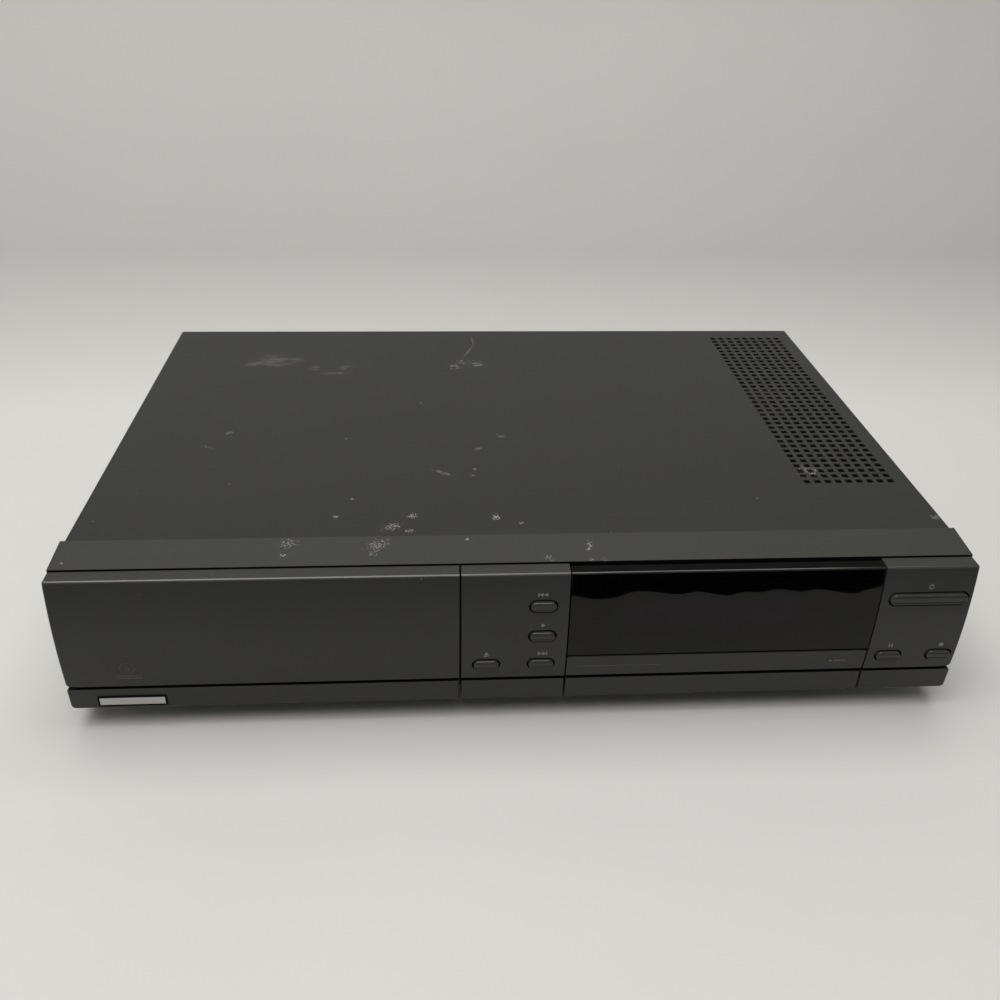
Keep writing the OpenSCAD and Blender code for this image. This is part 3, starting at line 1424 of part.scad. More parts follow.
// Drive
module drive_base() {
  shoulder_r = 4.5;
  seat_gap = 0.3;
  pin_root = 2;
  window_left = 22;
  window_right = 10;
  window_ends = 14;
  color("#7d8082") difference() {
    union() {
      block(tray_x - drive_hw, tray_x + drive_hw, drive_y0, drive_y1, drive_z0, drive_z1);
      post(pivot_x, disc_y, drive_z1 - 1, arm_z0 - seat_gap, shoulder_r);
      post(pivot_x, disc_y, drive_z1 - 1, arm_z0 + arm_t + pivot_over, spindle_r);
      for (y = guide_y) {
        bar_x(y, pin_z, tray_x - loader_in - pin_end, tray_x - drive_hw + pin_root, guide_pin_r);
        bar_x(y, pin_z, tray_x + drive_hw - pin_root, tray_x + loader_in + pin_end, guide_pin_r);
      }
    }
    block(tray_x + window_left, tray_x + drive_hw - window_right, drive_y0 + window_ends, drive_y1 - window_ends,
          drive_z0 - 1, drive_z1 + 1);
  }
}

module spindle_motor() {
  color("#a4a8ab") difference() {
    post(tray_x, disc_y, drive_z1, drive_z1 + motor_h, spindle_motor_r);
    post(tray_x, disc_y, drive_z1 + spindle_in, drive_z1 + motor_h + 1, spindle_r + run_gap);
  }
}

module spindle() {
  color("#c8cacc") post(tray_x, disc_y, drive_z1 + spindle_in + stem_gap * 2, seat_z - seat_skin, spindle_r);
}

module turntable() {
  rim_h = 1;
  cone_in = 1.8;
  color("#222324") translate([tray_x, disc_y, 0]) difference() {
    union() {
      post(0, 0, seat_z - turntable_t, seat_z, turntable_r);
      post(0, 0, seat_z - seat_skin, seat_z + rim_h, cone_r);
      translate([0, 0, seat_z + rim_h])
        cylinder(r1 = cone_r, r2 = cone_r - cone_in, h = cone_h - rim_h, $fn = smooth_fn);
    }
    post(0, 0, seat_z - turntable_t - 1, seat_z - seat_skin, spindle_r);
  }
}

module pickup_arm() {
  hub_r = 6;
  bar_hw = 5;
  tail_l = 7.5;
  color("#55585b") translate([pivot_x, disc_y, 0]) rotate([0, 0, arm_in_angle]) difference() {
    union() {
      post(0, 0, arm_z0, arm_z0 + arm_t + hub_over, hub_r);
      block(-tail_l, arm_l, -bar_hw, bar_hw, arm_z0, arm_z0 + arm_t);
      post(arm_l, 0, arm_z0, lens_z - lens_t, lens_holder_r);
    }
    post(0, 0, arm_z0 - 1, arm_z0 + arm_t + 3, spindle_r + run_gap);
  }
}

module objective_lens() {
  lens_r = 2.5;
  color("#8fb3d9") post(lens_x, lens_y, lens_z - lens_t, lens_z, lens_r);
}

// Slotted slide that lifts the drive by its guide pins
module lift_cam() {
  slot_r = guide_pin_r + cam_clear;
  slot_l = sqrt(cam_run * cam_run + lift * lift);
  slot_a = atan(lift / cam_run);
  bar_h = 5.5;
  bar_d = 3;
  color("#d8d4c8") difference() {
    union() {
      for (s = [-1, 1]) {
        x0 = min(s * cam_x0, s * cam_x1);
        block(tray_x + x0, tray_x + x0 + cam_t, cam_y0, cam_y1, cam_z0, cam_z1);
      }
      block(tray_x - cam_x1, tray_x + cam_x1, cam_y1 - bar_d, cam_y1, cam_z0, cam_z0 + bar_h);
    }
    along_x(tray_x - cam_x1 - 1, tray_x + cam_x1 + 1) for (y = guide_y) translate([y, pin_z]) rotate(slot_a) {
      circle(r = slot_r, $fn = smooth_fn);
      translate([0, -slot_r]) square([slot_l, 2 * slot_r]);
      translate([slot_l, 0]) circle(r = slot_r, $fn = smooth_fn);
    }
  }
}

base_pan();
feet();
foot_screws();
rear_panel();
top_cover();
cover_screws();
front_frame();
front_panel();
display_window();
display_tube();
front_board();
tact_switches();
socket_board();
headphone_jack();
front_control_socket();
volume_pot();
main_board();
main_chips();
board_screws();
power_board();
mains_transformer();
power_capacitors();
heat_sink();
mains_switch();
switch_bracket();
mains_inlet();
phono_sockets();
rear_control_sockets();
cartridge_cover();
loader_frame();
loader_motor();
loader_belt();
clamp_bridge();
disc_tray();
tray_front();
tray_screws();
badge_plate();
drive_base();
spindle_motor();
lift_cam();
turntable();
spindle();
pickup_arm();
objective_lens();
clamp_puck();
motor_pulley();
belt_gear();
drive_gear();
previous_button();
play_button();
next_button();
open_button();
pause_button();
stop_button();
power_button();
power_rod();
socket_flap();
volume_knob();
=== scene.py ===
"""Looks of a front-loading disc player: its front mouldings, buttons, prints and finishes, and its studio."""
import math

import bmesh
import bpy
from mathutils import Matrix, Vector


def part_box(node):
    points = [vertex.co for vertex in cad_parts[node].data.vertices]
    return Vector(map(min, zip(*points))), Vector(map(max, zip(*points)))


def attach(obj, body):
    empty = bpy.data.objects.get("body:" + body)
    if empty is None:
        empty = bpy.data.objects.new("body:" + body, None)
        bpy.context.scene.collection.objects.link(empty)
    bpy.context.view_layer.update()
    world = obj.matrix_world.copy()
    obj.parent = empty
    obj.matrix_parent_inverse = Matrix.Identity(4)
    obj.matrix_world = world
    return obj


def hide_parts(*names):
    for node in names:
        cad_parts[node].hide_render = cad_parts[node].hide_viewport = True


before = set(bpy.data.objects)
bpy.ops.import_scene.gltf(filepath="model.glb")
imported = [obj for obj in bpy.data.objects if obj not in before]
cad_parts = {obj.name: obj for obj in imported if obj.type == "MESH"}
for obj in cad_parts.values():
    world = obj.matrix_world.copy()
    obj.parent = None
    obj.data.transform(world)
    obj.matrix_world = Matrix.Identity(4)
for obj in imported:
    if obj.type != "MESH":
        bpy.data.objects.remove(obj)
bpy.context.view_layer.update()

MM = 0.001


def corners(node):
    """A solid's lowest and highest corner, in mm."""
    return tuple(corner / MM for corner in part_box(node))


# Places in mm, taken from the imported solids
door_low, door_high = corners("tray_front")
panel_low, panel_high = corners("front_panel")
window_low, window_high = corners("display_window")
cover_low, cover_high = corners("top_cover")
FACE_Y = door_low.y
PANEL_Y = door_high.y
FRAME_Y = corners("front_frame")[0].y
FLANGE_Y = cover_low.y
REAR_Y = cover_high.y
REAR_PANEL_Y = corners("rear_panel")[1].y
COVER_HW = cover_high.x
COVER_TOP = cover_high.z
PANEL_TOP = door_high.z
SILL_Z = door_low.z
FLAP_TOP = corners("socket_flap")[1].z
WINDOW_Z = window_low.z
HALF_W = panel_high.x

# Sizes of the front mouldings in mm, the same as in the solids
FRONT_R = 250.0
CREST_Z = 50.0
PANEL_Z = SILL_Z + 13.1
SILL_TOP = SILL_Z + 11.5
SILL_Y = FACE_Y + 1.3
GROOVE_D = 2.6
CORE_Y = SILL_Y + GROOVE_D
WALL = 2.5
WINDOW_GAP = 0.6
DOOR_X = (door_low.x, door_high.x)
WINDOW_X = (window_low.x, window_high.x)
CONTROL_X = (panel_low.x, WINDOW_X[0] - WINDOW_GAP)
POWER_X = (WINDOW_X[1] + WINDOW_GAP, HALF_W)
FLAP_BACK = FACE_Y + 5.0
HINGE_Y = FACE_Y + 6.2
HINGE_Z = SILL_Z + 3.0
EAR_R = 2.4
EAR_T = 3.0
POCKET_LOW = Vector((CONTROL_X[1] - 1, FACE_Y + 5.8, 18.2))
POCKET_HIGH = Vector((POWER_X[0] + 1, FACE_Y + 18.2, FLAP_TOP - 1))
POCKET_WALL = 2.0
POCKET_BACK = FACE_Y + 16.2
SOCKET_Z = (POCKET_LOW.z + POCKET_HIGH.z) / 2
BUTTON_GAP = 0.85
BUTTON_FLANGE = 1.2
BUTTONS = ("previous_button", "play_button", "next_button", "open_button", "pause_button", "stop_button",
           "power_button")

# Sizes that only show here, in mm
BACK_Y = FRAME_Y - 0.7
HOLLOW_D = 4.9
EDGE_R = 1.1
OUTER_CORNER_R = 1.7
SILL_CORNER_R = 2.3
SILL_TOP_R = 0.7
INNER_EDGE_R = 0.22
SILL_EDGE_R = 1.0
FLAP_CORNER_R = 1.2
FLAP_EDGE_R = 0.4
WINDOW_EDGE_R = 0.9
CAP_IN = 0.6
CAP_R = 0.6
CAP_DEPTH = 3.5
STEM_R = 1.8
DISH_RIM = 0.35
DISH_D = 0.36
PRINT_T = 0.05
SIGN_UP = 3.6
BADGE_BORDER = 0.9
KNOB_R = 6.0
KNOB_D = 7.0
KNOB_FLUTES = 48
FLUTE_EDGE = 0.12
FLUTE_D = 0.28
HEAD_R = 3.2
HEAD_H = 1.1
SHANK_R = 1.4
SHANK_L = 6.0
SIDE_SCREWS_BACK = (60.0, 220.0)
SIDE_SCREW_Z = 22.0
REAR_SCREWS_X = (-167.1, 0.0, 167.1)
REAR_SCREW_Z = 79.5
BAY_SCREWS_X = (-179.1, -75.1)
BAY_SCREW_Z = 38.0
BAY_COVER_T = 1.5
PIN_CIRCLE_R = 2.9
PIN_R = 0.45
PIN_ANGLES = range(-60, 250, 50)
SOCKET_HALF = 7
PHONO_PITCH = 14
COLLAR_R = 3.3
COLLAR_T = 0.7
COLLAR_WALL = 1.6


# Working by hand with the operators

def rest():
    """Leaves edit mode with nothing selected."""
    if bpy.context.mode != "OBJECT":
        bpy.ops.object.mode_set(mode="OBJECT")
    bpy.ops.object.select_all(action="DESELECT")


def hold(piece):
    """Makes one piece the only selected and active object."""
    rest()
    piece.select_set(True)
    bpy.context.view_layer.objects.active = piece


def fix_place():
    """Puts the held piece's place, turn and scale into its mesh."""
    bpy.ops.object.transform_apply(location=True, rotation=True, scale=True)


def stand(piece, turn, place):
    """Turns a piece that was made at the origin and sets it in its place."""
    hold(piece)
    piece.rotation_euler = turn
    piece.location = [v * MM for v in place]
    fix_place()


def settle(name):
    """Names the new primitive and fixes it in its place."""
    piece = bpy.context.active_object
    piece.name = name
    piece.data.name = name
    fix_place()
    return piece


def block(name, low, high):
    """A cube primitive at its size and place."""
    rest()
    middle = [(a + b) / 2 * MM for a, b in zip(low, high)]
    size = [(b - a) * MM for a, b in zip(low, high)]
    bpy.ops.mesh.primitive_cube_add(size=1, location=middle, scale=size)
    return settle(name)


def rod(name, middle, radius, length, turn, sides=40):
    """A cylinder primitive whose axis is turned from Z by the given angles."""
    rest()
    bpy.ops.mesh.primitive_cylinder_add(vertices=sides, radius=radius * MM, depth=length * MM,
                                        location=[v * MM for v in middle],
                                        rotation=[math.radians(a) for a in turn])
    return settle(name)


def edit(piece):
    hold(piece)
    bpy.ops.object.mode_set(mode="EDIT")


def pick(piece, kind, test):
    """Selects the vertices, edges or faces that pass the test. Places are given to it in mm."""
    bpy.ops.mesh.select_mode(type=kind)
    bpy.ops.mesh.select_all(action="DESELECT")
    mesh = bmesh.from_edit_mesh(piece.data)
    mesh.normal_update()
    if kind == "VERT":
        for v in mesh.verts:
            v.select_set(test(v.co / MM))
    elif kind == "EDGE":
        for e in mesh.edges:
            a, b = (v.co / MM for v in e.verts)
            e.select_set(test((a + b) / 2, (b - a).normalized(), e.calc_face_angle(0)))
    else:
        for f in mesh.faces:
            f.select_set(test(f.calc_center_median() / MM, f.normal))
    mesh.select_flush_mode()
    bmesh.update_edit_mesh(piece.data)


def near(a, b, gap=0.02):
    return abs(a - b) < gap


def round_edges(piece, test, radius, steps):
    pick(piece, "EDGE", test)
    bpy.ops.mesh.bevel(offset=radius * MM, segments=steps, affect="EDGES", clamp_overlap=False)


def ease(piece, test, radius, steps):
    """Rounds the picked edges of a piece that is out of edit mode, and leaves it so."""
    edit(piece)
    round_edges(piece, test, radius, steps)
    rest()
    return piece


def is_sharp(p, way, turn):
    return turn > 0.8


def runs_deep(p, way, turn):
    return abs(way.y) > 0.9


def runs_up(p, way, turn):
    return abs(way.z) > 0.9


def push(x=0.0, y=0.0, z=0.0):
    bpy.ops.transform.translate(value=(x * MM, y * MM, z * MM))


def draw_out(x=0.0, y=0.0, z=0.0):
    bpy.ops.mesh.extrude_region_move(TRANSFORM_OT_translate={"value": (x * MM, y * MM, z * MM)})


def join(name, pieces):
    """Joins pieces into the first one."""
    hold(pieces[0])
    for piece in pieces[1:]:
        piece.select_set(True)
    bpy.ops.object.join()
    made = bpy.context.active_object
    made.name = name
    made.data.name = name
    return made


def cut(piece, cutter):
    """Cuts one piece with another and drops the cutter."""
    hold(piece)
    modifier = piece.modifiers.new("cut", "BOOLEAN")
    modifier.operation = "DIFFERENCE"
    modifier.solver = "EXACT"
    modifier.object = cutter
    bpy.ops.object.modifier_apply(modifier=modifier.name)
    hold(cutter)
    bpy.ops.object.delete()


def smooth(piece):
    """Smooth shading between near faces, led by the large ones so that small roundings stay crisp."""
    hold(piece)
    bpy.ops.object.shade_smooth_by_angle(angle=math.radians(25))
    even = piece.modifiers.new("even_shading", "WEIGHTED_NORMAL")
    even.keep_sharp = True
    bpy.ops.object.modifier_apply(modifier=even.name)
    rest()


def finish_piece(piece, body, material, *nodes):
    """Gives a piece its finish, its body and the solids that it stands for."""
    piece.data.materials.clear()
    piece.data.materials.append(material)
    smooth(piece)
    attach(piece, body)
    if nodes:
        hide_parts(*nodes)
    return piece


def recolour(piece, material, test):
    """Gives the faces that pass the test a second finish."""
    piece.data.materials.append(material)
    edit(piece)
    pick(piece, "FACE", test)
    piece.active_material_index = len(piece.data.materials) - 1
    bpy.ops.object.material_slot_assign()
    rest()


# Finishes

def feed(tree, socket, value):
    """Links a value that is a socket, and sets any other."""
    if isinstance(value, bpy.types.NodeSocket):
        tree.links.new(value, socket)
    else:
        socket.default_value = value


def wire(tree, kind, values=None, **settings):
    """Adds a node with its settings, and feeds its inputs."""
    made = tree.nodes.new(kind)
    for key, value in settings.items():
        setattr(made, key, value)
    for key, value in (values or {}).items():
        feed(tree, made.inputs[key], value)
    return made


def sums(tree, operation, first, second):
    return wire(tree, "ShaderNodeMath", {0: first, 1: second}, operation=operation).outputs[0]


def span(tree, value, low, high, to_low=0.0, to_high=1.0):
    return wire(tree, "ShaderNodeMapRange", {"Value": value, "From Min": low, "From Max": high,
                                             "To Min": to_low, "To Max": to_high}).outputs["Result"]


def blend(tree, mask, first, second):
    return wire(tree, "ShaderNodeMix", {0: mask, 6: first, 7: second}, data_type="RGBA").outputs[2]


def new_group(name, inputs, outputs):
    tree = bpy.data.node_groups.new(name, "ShaderNodeTree")
    for label, kind, value in inputs:
        tree.interface.new_socket(label, in_out="INPUT", socket_type=kind).default_value = value
    for label in outputs:
        tree.interface.new_socket(label, in_out="OUTPUT", socket_type="NodeSocketFloat")
    return tree, tree.nodes.new("NodeGroupInput").outputs, tree.nodes.new("NodeGroupOutput").inputs


VECTOR, FLOAT = "NodeSocketVector", "NodeSocketFloat"


def make_grain():
    """Fine moulded grain, and a slow drift of tone over the surface."""
    tree, given, out = new_group("moulded_grain", [("Vector", VECTOR, (0, 0, 0)), ("Grains", FLOAT, 2200.0),
                                                   ("Drift", FLOAT, 14.0)], ["Height", "Tone"])
    fine = wire(tree, "ShaderNodeTexNoise", {"Vector": given["Vector"], "Scale": given["Grains"],
                                             "Detail": 2.0, "Roughness": 0.6})
    slow = wire(tree, "ShaderNodeTexNoise", {"Vector": given["Vector"], "Scale": given["Drift"],
                                             "Detail": 4.0, "Roughness": 0.55})
    tree.links.new(fine.outputs[0], out["Height"])
    tree.links.new(span(tree, slow.outputs[0], 0.3, 0.7), out["Tone"])
    return tree


def make_patch():
    """A ragged patch of wear or dirt around one place on the top, turned about Z."""
    tree, given, out = new_group("worn_patch", [("Vector", VECTOR, (0, 0, 0)), ("Place", VECTOR, (0, 0, 0)),
                                                ("Reach", VECTOR, (1, 1, 1)), ("Stretch", VECTOR, (1, 1, 1)),
                                                ("Turn", FLOAT, 0.0), ("Scale", FLOAT, 400.0),
                                                ("Cut", FLOAT, 0.5), ("Soft", FLOAT, 0.06)], ["Mask"])
    away = wire(tree, "ShaderNodeVectorMath", {0: given["Vector"], 1: given["Place"]}, operation="SUBTRACT")
    turned = wire(tree, "ShaderNodeVectorRotate", {"Vector": away.outputs[0], "Angle": given["Turn"]},
                  rotation_type="Z_AXIS")
    shrunk = wire(tree, "ShaderNodeVectorMath", {0: turned.outputs[0], 1: given["Reach"]}, operation="DIVIDE")
    far = wire(tree, "ShaderNodeVectorMath", {0: shrunk.outputs[0]}, operation="LENGTH").outputs["Value"]
    falling = span(tree, far, 0.1, 1.0, 1.0, 0.0)
    pulled = wire(tree, "ShaderNodeVectorMath", {0: turned.outputs[0], 1: given["Stretch"]},
                  operation="MULTIPLY")
    own = wire(tree, "ShaderNodeVectorMath", {0: pulled.outputs[0], 1: given["Place"]}, operation="ADD")
    ragged = wire(tree, "ShaderNodeTexNoise", {"Vector": own.outputs[0], "Scale": given["Scale"],
                                               "Detail": 5.0, "Roughness": 0.65}).outputs[0]
    inside = sums(tree, "MULTIPLY", ragged, sums(tree, "POWER", falling, 0.35))
    edge = sums(tree, "ADD", given["Cut"], given["Soft"])
    made = wire(tree, "ShaderNodeMapRange", {"Value": inside, "From Min": given["Cut"], "From Max": edge})
    tree.links.new(made.outputs["Result"], out["Mask"])
    return tree


def make_dust():
    """Single specks of dust, spread at random."""
    tree, given, out = new_group("stray_dust", [("Vector", VECTOR, (0, 0, 0)), ("Spots", FLOAT, 160.0),
                                                ("Share", FLOAT, 0.1), ("Size", FLOAT, 0.08)], ["Mask"])
    cells = wire(tree, "ShaderNodeTexVoronoi", {"Vector": given["Vector"], "Scale": given["Spots"]})
    draws = wire(tree, "ShaderNodeSeparateColor", {0: cells.outputs["Color"]}).outputs
    chosen = sums(tree, "LESS_THAN", draws[0], given["Share"])
    size = sums(tree, "MULTIPLY", given["Size"], draws[1])
    small = sums(tree, "LESS_THAN", cells.outputs["Distance"], size)
    tree.links.new(sums(tree, "MULTIPLY", chosen, small), out["Mask"])
    return tree


def make_hairlines():
    """Long thin scratches that run one way."""
    tree, given, out = new_group("hairlines", [("Vector", VECTOR, (0, 0, 0)), ("Turn", FLOAT, 0.3),
                                               ("Lines", FLOAT, 300.0), ("Width", FLOAT, 0.006)], ["Mask"])
    turned = wire(tree, "ShaderNodeVectorRotate", {"Vector": given["Vector"], "Angle": given["Turn"]},
                  rotation_type="Z_AXIS")
    thin = wire(tree, "ShaderNodeVectorMath", {0: turned.outputs[0], 1: (0.05, 1.0, 0.4)},
                operation="MULTIPLY")
    wave = wire(tree, "ShaderNodeTexNoise", {"Vector": thin.outputs[0], "Scale": given["Lines"],
                                             "Detail": 1.0})
    off = wire(tree, "ShaderNodeMath", {0: sums(tree, "SUBTRACT", wave.outputs[0], 0.5)},
               operation="ABSOLUTE")
    few = wire(tree, "ShaderNodeTexNoise", {"Vector": given["Vector"], "Scale": 30.0, "Detail": 2.0})
    line = sums(tree, "LESS_THAN", off.outputs[0], given["Width"])
    some = span(tree, few.outputs[0], 0.52, 0.62)
    tree.links.new(sums(tree, "MULTIPLY", line, some), out["Mask"])
    return tree


GRAIN = make_grain()
PATCH = make_patch()
DUST = make_dust()
HAIRLINES = make_hairlines()


def grouped(tree, group, values):
    return wire(tree, "ShaderNodeGroup", values, node_tree=group).outputs


def shade(colour, factor):
    return tuple(min(1.0, c * factor) for c in colour) + (1.0,)


class Finish:
    """One material under construction: its tree, its shader and the object's own coordinates."""

    def __init__(self, name, colour, rough, metal=0.0, grains=2200.0, depth=0.03, drift=14.0, vary=0.08,
                 gloss=0.3):
        self.material = bpy.data.materials.new(name)
        self.material.use_nodes = True
        self.material.diffuse_color = shade(colour, 1.0)
        self.tree = self.material.node_tree
        self.shader = self.tree.nodes["Principled BSDF"]
        self.shader.inputs["Metallic"].default_value = metal
        self.shader.inputs["Specular IOR Level"].default_value = gloss
        self.place = self.tree.nodes.new("ShaderNodeTexCoord").outputs["Object"]
        grain = grouped(self.tree, GRAIN, {"Vector": self.place, "Grains": grains, "Drift": drift})
        self.tone = grain["Tone"]
        self.colour = blend(self.tree, self.tone, shade(colour, 1 - vary), shade(colour, 1 + vary))
        self.rough = span(self.tree, self.tone, 0.0, 1.0, rough - 0.04, rough + 0.04)
        self.height = grain["Height"]
        self.depth = depth

    def tint(self, mask, colour, strength=1.0):
        """Lays a colour over the surface where the mask is."""
        if strength != 1.0:
            mask = sums(self.tree, "MULTIPLY", mask, strength)
        self.colour = blend(self.tree, mask, self.colour, shade(colour, 1.0))

    def dust(self, spots, share, size, colour, strength=1.0):
        self.tint(grouped(self.tree, DUST, {"Vector": self.place, "Spots": spots, "Share": share,
                                            "Size": size})["Mask"], colour, strength)

    def patch(self, place, reach, scale, cut_at, colour, strength=1.0, turn=0.0, stretch=(1, 1, 1),
              soft=0.06):
        """A ragged mark around a place in mm; reach is its half size in mm, before it is turned."""
        mask = grouped(self.tree, PATCH, {"Vector": self.place, "Place": [v * MM for v in place],
                                          "Reach": [v * MM for v in reach], "Stretch": stretch,
                                          "Turn": math.radians(-turn), "Scale": scale, "Cut": cut_at,
                                          "Soft": soft})["Mask"]
        self.tint(mask, colour, strength)

    def speckle(self, x, back, half_x, half_y, turn=0.0):
        """A cluster of bare white specks on the top, looser where it is large."""
        cut_at = 0.50 if half_x < 7 else 0.53
        self.patch(on_top(x, back), (half_x, half_y, 9), 1300.0, cut_at, SPECK_WHITE, 0.8, turn, soft=0.03)

    def hairlines(self, turn, lines, width, colour, strength):
        self.tint(grouped(self.tree, HAIRLINES, {"Vector": self.place, "Turn": turn, "Lines": lines,
                                                 "Width": width})["Mask"], colour, strength)

    def done(self):
        links = self.tree.links
        links.new(self.colour, self.shader.inputs["Base Color"])
        links.new(self.rough, self.shader.inputs["Roughness"])
        bump = wire(self.tree, "ShaderNodeBump", {"Height": self.height, "Strength": 0.35,
                                                  "Distance": self.depth * MM})
        links.new(bump.outputs[0], self.shader.inputs["Normal"])
        return self.material


DUST_GREY = (0.42, 0.41, 0.38)
SPECK_WHITE = (0.50, 0.49, 0.46)
SCUFF_GREY = (0.19, 0.19, 0.18)
SMEAR_GREY = (0.120, 0.117, 0.102)
FRONT_GREY = (0.041, 0.0412, 0.0388)
COVER_GREY = (0.0285, 0.0287, 0.0270)


def on_top(x, back):
    """A place on the top: x, and how far behind the seam of cover and flange."""
    return (x, FLANGE_Y + back, COVER_TOP)


def front_plastic():
    """Dark grey satin moulding of the door, the columns and the flap."""
    made = Finish("front_plastic", FRONT_GREY, 0.36, grains=3200.0, drift=9.0, vary=0.05, gloss=0.26)
    made.dust(260.0, 0.06, 0.08, DUST_GREY, 0.5)
    made.hairlines(1.2, 260.0, 0.0012, SCUFF_GREY, 0.15)
    made.patch((200, FACE_Y + 4, PANEL_TOP), (9, 6, 3), 900.0, 0.52, (0.012, 0.012, 0.012), 0.8)
    made.patch((16, FACE_Y, 45), (4, 4, 6), 900.0, 0.53, SCUFF_GREY, 0.6)
    return made.done()


def flange_plastic():
    """The same moulding along the top flange, with its front face painted near black as painted shade, and
    white speckles where it was knocked.
    """
    made = Finish("flange_plastic", shade(FRONT_GREY, 1.1)[:3], 0.42, grains=3200.0, drift=9.0, vary=0.05)
    depth = wire(made.tree, "ShaderNodeSeparateXYZ", {0: made.place}).outputs["Y"]
    # Painted shade: the flange's front face, above the gap to the panels, is tinted near black
    made.tint(sums(made.tree, "LESS_THAN", depth, (FRAME_Y + 0.05) * MM), (0.006, 0.006, 0.006))
    made.dust(260.0, 0.08, 0.08, DUST_GREY, 0.6)
    for mark in ((-107, -4.5, 12, 9, 25), (-108, -13, 5, 4), (-66, -6.5, 16, 11, 30), (-68.4, -12.5, 5, 4),
                 (-24.8, -3, 3, 2.4), (12, -18, 6, 4, -30), (31.5, -9.5, 4, 10, -8), (31, -19, 3, 3),
                 (37, -19.5, 4, 3), (-205, -16, 3, 2)):
        made.speckle(*mark)
    return made.done()


def cover_paint():
    """Satin dark grey paint on the sheet cover, with smears, scratches and speckles where it was handled."""
    made = Finish("cover_paint", COVER_GREY, 0.48, grains=2600.0, depth=0.035, drift=7.0, vary=0.06,
                  gloss=0.25)
    made.dust(140.0, 0.08, 0.07, DUST_GREY, 0.6)
    made.hairlines(0.5, 180.0, 0.0012, SCUFF_GREY, 0.2)
    made.patch(on_top(-140, 208), (26, 18, 9), 170.0, 0.36, SMEAR_GREY, 0.6, 12, (0.6, 1, 1), 0.22)
    for x, back, half_x, half_y, turn in ((-152, 204, 11, 7, 25), (-139, 211, 15, 8, 5),
                                          (-126, 210, 11, 5, -4), (-113, 197, 9, 6, -15),
                                          (-100, 189, 17, 4, 0), (-94, 198, 11, 6, 25)):
        made.patch(on_top(x, back), (half_x, half_y, 9), 480.0, 0.40, SMEAR_GREY, 0.7, turn, (0.5, 1, 1),
                   0.15)
    for x, back, half_x, half_y in ((-26, 198, 11, 12), (-20, 206, 10, 9), (-11, 202, 13, 12)):
        made.patch(on_top(x, back), (half_x, half_y, 9), 620.0, 0.47, SCUFF_GREY, 0.8, 0, (0.7, 1, 1), 0.10)
    for x, back, half_y, turn in ((-12.5, 242, 11, 4), (-16, 224, 14, -19)):
        made.patch(on_top(x, back), (0.8, half_y, 9), 260.0, 0.28, SCUFF_GREY, 0.45, turn)
    for x, back, half_x, half_y, turn in ((-152, 108, 5, 3, 35), (-160, 91, 11, 1.6, -27),
                                          (-36, 60.5, 10, 2.4, -34), (-15.6, 86.6, 5, 2.4, 45),
                                          (-2.4, 101, 6, 2.5, -40), (205, 10, 5, 4, 0)):
        made.patch(on_top(x, back), (half_x, half_y, 9), 560.0, 0.41, SCUFF_GREY, 0.7, turn)
    for mark in ((-60, 8, 15, 8, 35), (-52, 4.5, 6, 4), (-50.5, 17.7, 6, 6), (-87, 18, 4, 4),
                 (-80, 34.4, 3.4, 3.4), (-10.4, 15.7, 5, 7), (1.6, 9.9, 3, 2.6), (-18.7, 63.7, 2.4, 3),
                 (-19.8, 56.2, 3.4, 2.6), (-46.8, 144.7, 2, 2.4), (-87.6, 99.2, 2, 2.4),
                 (158, 58, 19, 12, -59)):
        made.speckle(*mark)
    return made.done()


def smoked_window():
    """Polished smoked acrylic with a little dust."""
    made = Finish("smoked_window", (0.0012, 0.0008, 0.0010), 0.05, grains=40.0, depth=0.002, drift=20.0,
                  vary=0.1, gloss=0.25)
    made.dust(200.0, 0.06, 0.06, DUST_GREY, 0.25)
    made.patch((92, FACE_Y, 62), (60, 9, 9), 60.0, 0.26, (0.0060, 0.0016, 0.0036), 0.8)
    return made.done()


def brushed(name, colour, rough, metal=1.0, stretch=(40.0, 2600.0, 2600.0)):
    """Metal with fine lines along X."""
    made = Finish(name, colour, rough, metal, grains=900.0, depth=0.01, vary=0.06)
    scaled = wire(made.tree, "ShaderNodeVectorMath", {0: made.place, 1: stretch}, operation="MULTIPLY")
    lines = wire(made.tree, "ShaderNodeTexNoise", {"Vector": scaled.outputs[0], "Scale": 1.0, "Detail": 2.0})
    made.height = lines.outputs[0]
    made.rough = span(made.tree, lines.outputs[0], 0.3, 0.7, rough - 0.06, rough + 0.08)
    return made.done()


def plain(name, colour, rough, metal=0.0, grains=2200.0, depth=0.02, dust=0.05, gloss=0.4):
    """A moulded, rubber or metal finish with grain, drift of tone and a little dust."""
    made = Finish(name, colour, rough, metal, grains, depth, gloss=gloss)
    if dust:
        made.dust(220.0, dust, 0.08, DUST_GREY, 0.5)
    return made.done()


def board(name, colour, track):
    """Circuit board lacquer with faint copper tracks under it."""
    made = Finish(name, colour, 0.4, grains=1500.0, depth=0.02)
    bricks = wire(made.tree, "ShaderNodeTexBrick", {"Vector": made.place, "Scale": 90.0, "Mortar Size": 0.03,
                                                    "Color1": (0, 0, 0, 1), "Color2": (0, 0, 0, 1),
                                                    "Mortar": (1, 1, 1, 1)})
    made.tint(wire(made.tree, "ShaderNodeSeparateColor", {0: bricks.outputs["Color"]}).outputs[0], track, 0.6)
    return made.done()


